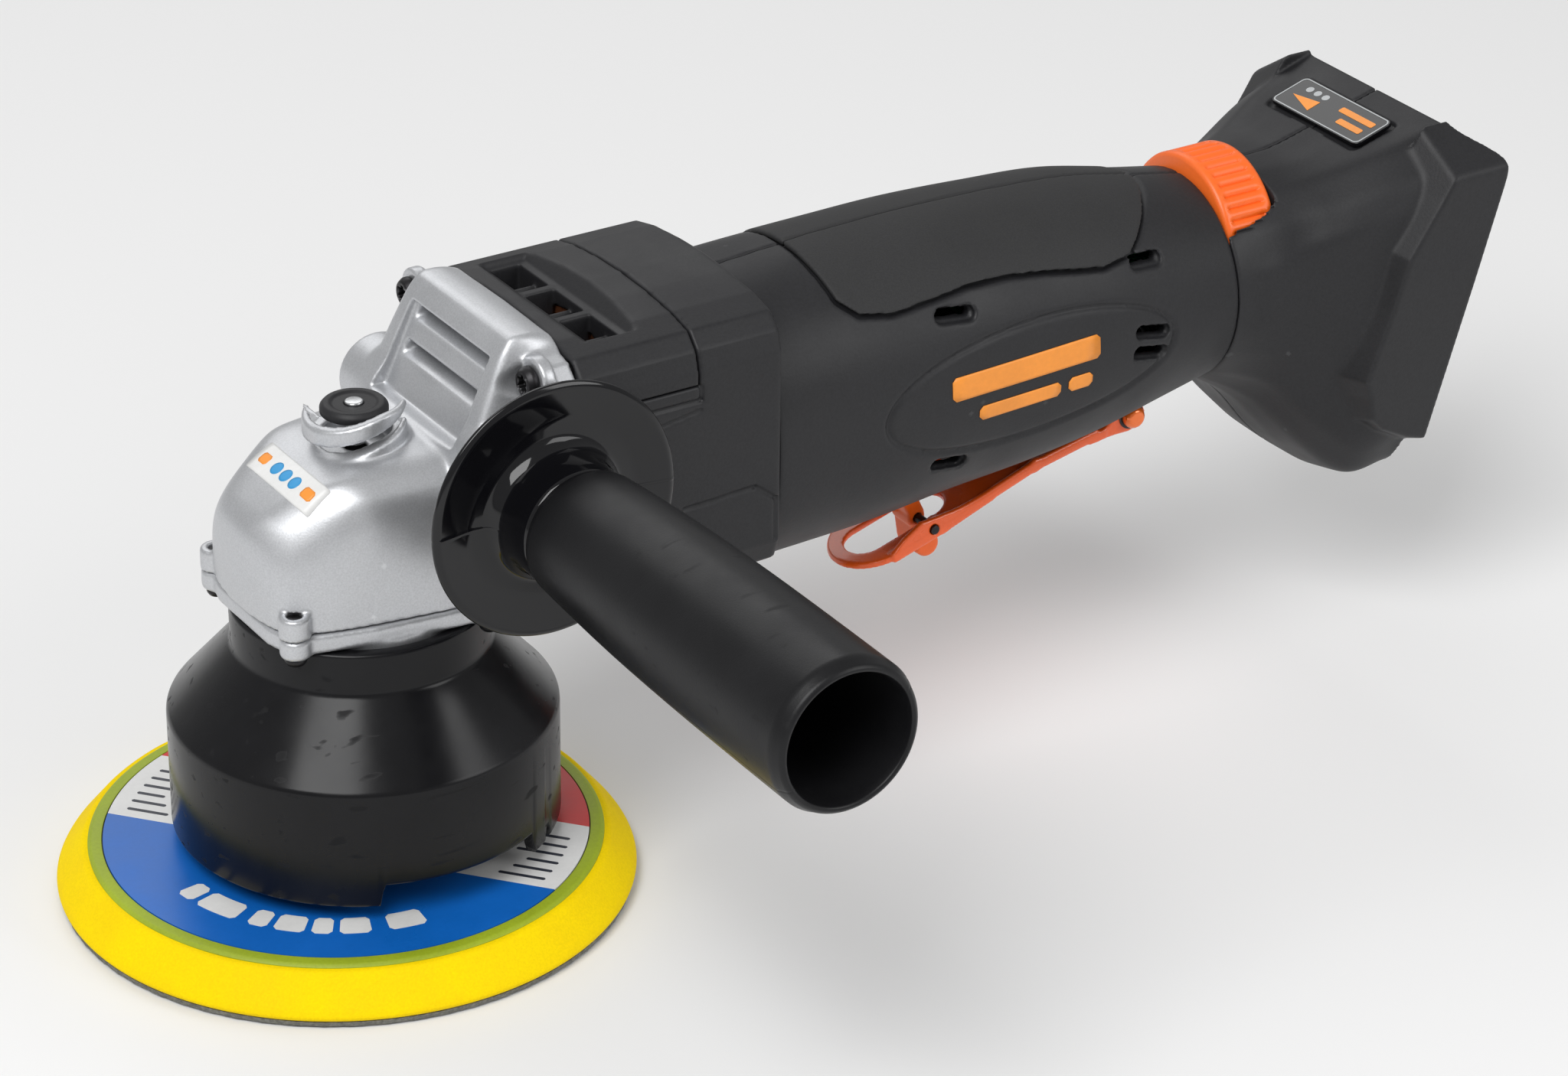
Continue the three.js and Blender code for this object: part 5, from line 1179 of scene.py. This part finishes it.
def lever():
    low, high = corners("lever")
    x, y, z = axes = grid(low - 0.6, high + 0.6, LEVER_STEP)
    u, v = x - LEVER_X, z - LEVER_Z
    line = [(a, b - SHEET / 2) for a, b in LEVER_LINE]
    sheet = polyline_field(u, v, line) - SHEET / 2
    plan = np.hypot(np.maximum(-(u + 62.6), 0), y) - LEVER_W
    plan = np.maximum(plan, u + 7.0)
    slot = np.hypot(np.maximum(np.abs(u + 57.4) - 7.4, 0), y) - 5.0
    sheet = smooth_max(smooth_max(sheet + 0 * y, plan + 0 * v, 0.5), -slot + 0 * v, 0.5)
    # Folded sides: a low lip along the sheet, and the ears that carry the two pins.
    lip_line = [(a, b + 0.3) for a, b in LEVER_LINE]
    lip = np.maximum(polyline_field(u, v, lip_line) - 0.9, slab(u, -61, -9))
    front = [(-38, -10.4), (-46, -11.6), (-54, -12.4), (-57, -12.6), (-61.5, -15.6), (-64.6, -18.4),
             (-64, -20.6), (-57, -18.4), (-50, -16.2), (-38, -11.4)]
    pivot = [(-11, -3.0), (-7, -1.6), (-4.1, 0.8), (-2.6, 3.2), (0, 4.1), (2.6, 3.2), (4.1, 0), (2.9, -3),
             (0, -4.1), (-4, -4.1), (-11, -4.6)]
    ears = np.minimum(outline_field(u, v, front), outline_field(u, v, pivot))
    folded = smooth_max(smooth_min(lip, ears, 1.0) + 0 * y, slab(np.abs(y), LEVER_W - SHEET, LEVER_W), 0.45)
    body = smooth_min(sheet, folded, 0.9)
    body = cut(body, rod_field(u, v, y, 2.06, -20, 20), 0.3)
    body = cut(body, rod_field(x - TAB_X, z - TAB_Z, y, TAB_HOLE_R, -20, 20), 0.3)
    dress(field_object("safety_lever", body, axes, LEVER_STEP), "lever", "lever_paint", "lever")


def lock_tab():
    low, high = corners("lock_tab")
    x, y, z = axes = grid(low - 0.5, high + 0.5, TAB_STEP)
    u, v = x - TAB_X, z - TAB_Z
    arm = outline_field(u, v, [(-5.6, 7.4), (-1, 7.6), (1.8, 1.6), (1.6, -1.6), (-1.8, -1.6), (-2.4, 1)])
    lobe = np.hypot(u - 3.1, v + 7.8) - 3.0
    neck = outline_field(u, v, [(-1.6, -1), (1.7, -1), (3.4, -4), (5.0, -6.2), (3, -9),
                                (0.4, -9.0), (-0.6, -7)])
    shape = smooth_min(smooth_min(smooth_min(arm, np.hypot(u, v) - 2.1, 0.8), neck, 0.8), lobe, 1.2)
    body = smooth_max(shape + 0 * y, np.abs(y) - 4.0, 1.0)
    body = cut(body, rod_field(u, v, y, TAB_HOLE_R, -20, 20), 0.3)
    dress(field_object("lock_off_tab", body, axes, TAB_STEP), "lock_off", "orange_plastic", "lock_tab")


def pins():
    end = corners("lock_tab_pin")[1][1]
    outline = fillet([(0, -end), (1.1, -end), (1.1, end), (0, end)], 0.35, 5)
    place = at(TAB_X, 0, TAB_Z, TO_MINUS_Y)
    turned("lock_tab_roll_pin", outline, 48, place, "lever", "dark_steel", "lock_tab_pin")
    near, far = -corners("lever_pin")[0][1], corners("lever_pin")[1][1]
    cap = fillet([(0, -far), (2, -far), (2, 11.0), (2.7, 11.0), (2.7, near - 1.0),
                  (1.9, near), (0, near)], 0.6, 6)
    turn = at(LEVER_X, 0, LEVER_Z, TO_MINUS_Y)
    turned("lever_pin_capped", cap, 72, turn, "housing", "pin_amber", "lever_pin")
    washer = ring([(2.05, 10.76), (3.3, 10.76), (3.3, 10.96), (2.05, 10.96)], 0.08, 3)
    turned("lever_pin_washer", washer, 72, turn, "housing", "dark_steel")


# ------------------------------------------------------------ printed marks
def tree_of(piece):
    data = piece.data
    points = [v.co for v in data.vertices]
    return BVHTree.FromPolygons(points, [p.vertices[:] for p in data.polygons])


def decal(name, tree, origin, across, along, outline, lift, rings=7):
    """A thin printed or raised shape that lies on a piece: its flat outline is cast onto the surface."""
    origin, across, along = Vector(origin), Vector(across).normalized(), Vector(along).normalized()
    toward = across.cross(along)
    shape = np.array(outline, float)
    centre = shape.mean(axis=0)
    top, low = [], []
    for k in range(rings + 1):
        for a, b in (centre + (shape - centre) * (k / rings) if k else centre[None, :]):
            start = (origin + across * a + along * b + toward * 25) * MM
            hit, normal, _, _ = tree.ray_cast(start, -toward)
            top.append((hit + normal * lift * MM) / MM)
            low.append((hit - normal * 0.05 * MM) / MM)
    n = len(shape)
    faces = []
    count = len(top)
    for i in range(n):
        j = (i + 1) % n
        faces += [(0, 1 + i, 1 + j), (count, count + 1 + j, count + 1 + i)]
        for k in range(rings - 1):
            a, b = 1 + k * n, 1 + (k + 1) * n
            faces += [(a + i, b + i, b + j, a + j),
                      (count + a + i, count + a + j, count + b + j, count + b + i)]
        last = 1 + (rings - 1) * n
        faces.append((last + i, count + last + i, count + last + j, last + j))
    return mesh_object(name, top + low, faces)


def dense(outline, spacing=0.8):
    """The same outline with more points along its edges."""
    points = []
    for (ax, ay), (bx, by) in zip(outline, outline[1:] + outline[:1]):
        steps = max(int(math.hypot(bx - ax, by - ay) / spacing), 1)
        points += [(ax + (bx - ax) * k / steps, ay + (by - ay) * k / steps) for k in range(steps)]
    return points


def disc(cx, cy, radius, steps=28):
    angles = np.linspace(0, TAU, steps + 1)[:-1]
    return [(cx + radius * math.cos(a), cy + radius * math.sin(a)) for a in angles]


def prints():
    case = tree_of(bpy.data.objects["gear_case_cast"])
    across, along = (0, -1, 0), (0.80, 0, 0.60)
    spot = ((-16.2, -2.0, 98.3), across, along)
    paper = decal("nose_sticker", case, *spot, dense(round_rectangle(12.6, 3.6, 0.5)), 0.10, 8)
    dress(paper, "housing", "cast_alloy", material=WHITE)
    blue = [decal(f"disc_{i}", case, *spot, disc(-3.9 + 3.9 * i, 0, 1.6), 0.16, 3) for i in range(3)]
    dress(joined("nose_sticker_discs", blue), "housing", "cast_alloy", material=SKY)
    orange = [decal(f"mark_{side}", case, *spot, dense(bar(side * 9.2, 0, 3.2, 2.6, (1, 0), 0.5)), 0.16, 3)
              for side in (-1, 1)]
    dress(joined("nose_sticker_marks", orange), "housing", "cast_alloy", material=PRINT)

    shell = tree_of(bpy.data.objects["grip_shell_right_moulding"])
    spot = ((PANEL[0], -20, PANEL[1]), (1, 0, 0), (0, 0, 1))
    shapes = [bar(-2.5, 3.6, 40, 5.6, (1, 0.02), 0.9), bar(-4.0, -4.0, 22, 3.4, (1, 0.02), 0.9),
              bar(12.5, -3.6, 6.5, 3.4, (1, 0.02), 0.9)]
    marks = [decal(f"emblem_{i}", shell, *spot, dense(s), 0.22, 5) for i, s in enumerate(shapes)]
    dress(joined("grip_emblem_bars", marks), "housing", "orange_plastic", material=PRINT)


pad()
handle()
dial()
display()
lever()
lock_tab()
pins()
prints()


# ------------------------------------------------------------- camera, light
FLOOR_SIZE, FLOOR_DROP = 6.0, 0.0004  # half width, and depth under the tool, in metres


def stage():
    size = FLOOR_SIZE
    data = bpy.data.meshes.new("floor")
    square = [(-size, -size, 0), (size, -size, 0), (size, size, 0), (-size, size, 0)]
    data.from_pydata(square, [], [(0, 1, 2, 3)])
    floor = linked("floor", data)
    floor.location.z = -FLOOR_DROP
    paper = bpy.data.materials.new("pale_floor")
    paper.use_nodes = True
    shader = paper.node_tree.nodes["Principled BSDF"]
    shader.inputs["Base Color"].default_value = (0.86, 0.86, 0.86, 1)
    shader.inputs["Roughness"].default_value = 0.8
    data.materials.append(paper)


def lamp(name, place, target, width, height, power):
    data = bpy.data.lights.new(name, "AREA")
    data.shape = "RECTANGLE"
    data.size, data.size_y = width, height
    data.energy = power
    light = linked(name, data)
    light.location = place
    light.rotation_euler = (Vector(target) - Vector(place)).to_track_quat("-Z", "Y").to_euler()


def lights():
    bpy.context.scene.view_settings.view_transform = "Standard"
    world = bpy.data.worlds.new("studio")
    world.use_nodes = True
    world.node_tree.nodes["Background"].inputs["Color"].default_value = (1, 1, 1, 1)
    world.node_tree.nodes["Background"].inputs["Strength"].default_value = 0.42
    bpy.context.scene.world = world
    centre = (0.1, 0, 0.06)
    lamp("key", (-0.75, -0.55, 1.3), centre, 0.9, 0.9, 17)
    lamp("fill", (0.95, -1.2, 0.9), centre, 0.7, 0.9, 7)
    lamp("rim", (0.3, 1.2, 1.1), centre, 1.2, 0.6, 4)


VIEW_TURN, VIEW_HEIGHT, VIEW_ROLL = math.radians(-32.9), math.radians(27.68), math.radians(0.76)
CAMERA_PLACE = (-0.4150, -0.8055, 0.5540)
FOCAL_LENGTH = 111.79


def camera():
    a, e, r = VIEW_TURN, VIEW_HEIGHT, VIEW_ROLL
    back = Vector((math.sin(a) * math.cos(e), -math.cos(a) * math.cos(e), math.sin(e)))
    right = Vector((math.cos(a), math.sin(a), 0))
    up = back.cross(right)
    right_r = math.cos(r) * right + math.sin(r) * up
    up_r = -math.sin(r) * right + math.cos(r) * up
    data = bpy.data.cameras.new("camera")
    data.lens = FOCAL_LENGTH
    data.sensor_width = 36
    data.clip_start, data.clip_end = 0.05, 30
    view = linked("camera", data)
    turn = Matrix((right_r, up_r, back)).transposed().to_4x4()
    view.matrix_world = Matrix.Translation(CAMERA_PLACE) @ turn
    bpy.context.scene.camera = view


stage()
lights()
camera()

# ------------------------------------------- CAD nodes that keep their shape
for members in frame["record"]["behaviour"]["bodies"].values():
    for node_name in members:
        node = frame["nodes"][node_name]
        slot_name = next(s["material_slot"] for s in frame["record"]["subparts"] if s["node"] == node_name)
        node.data.materials.clear()
        node.data.materials.append(SLOT_MATERIAL[slot_name])
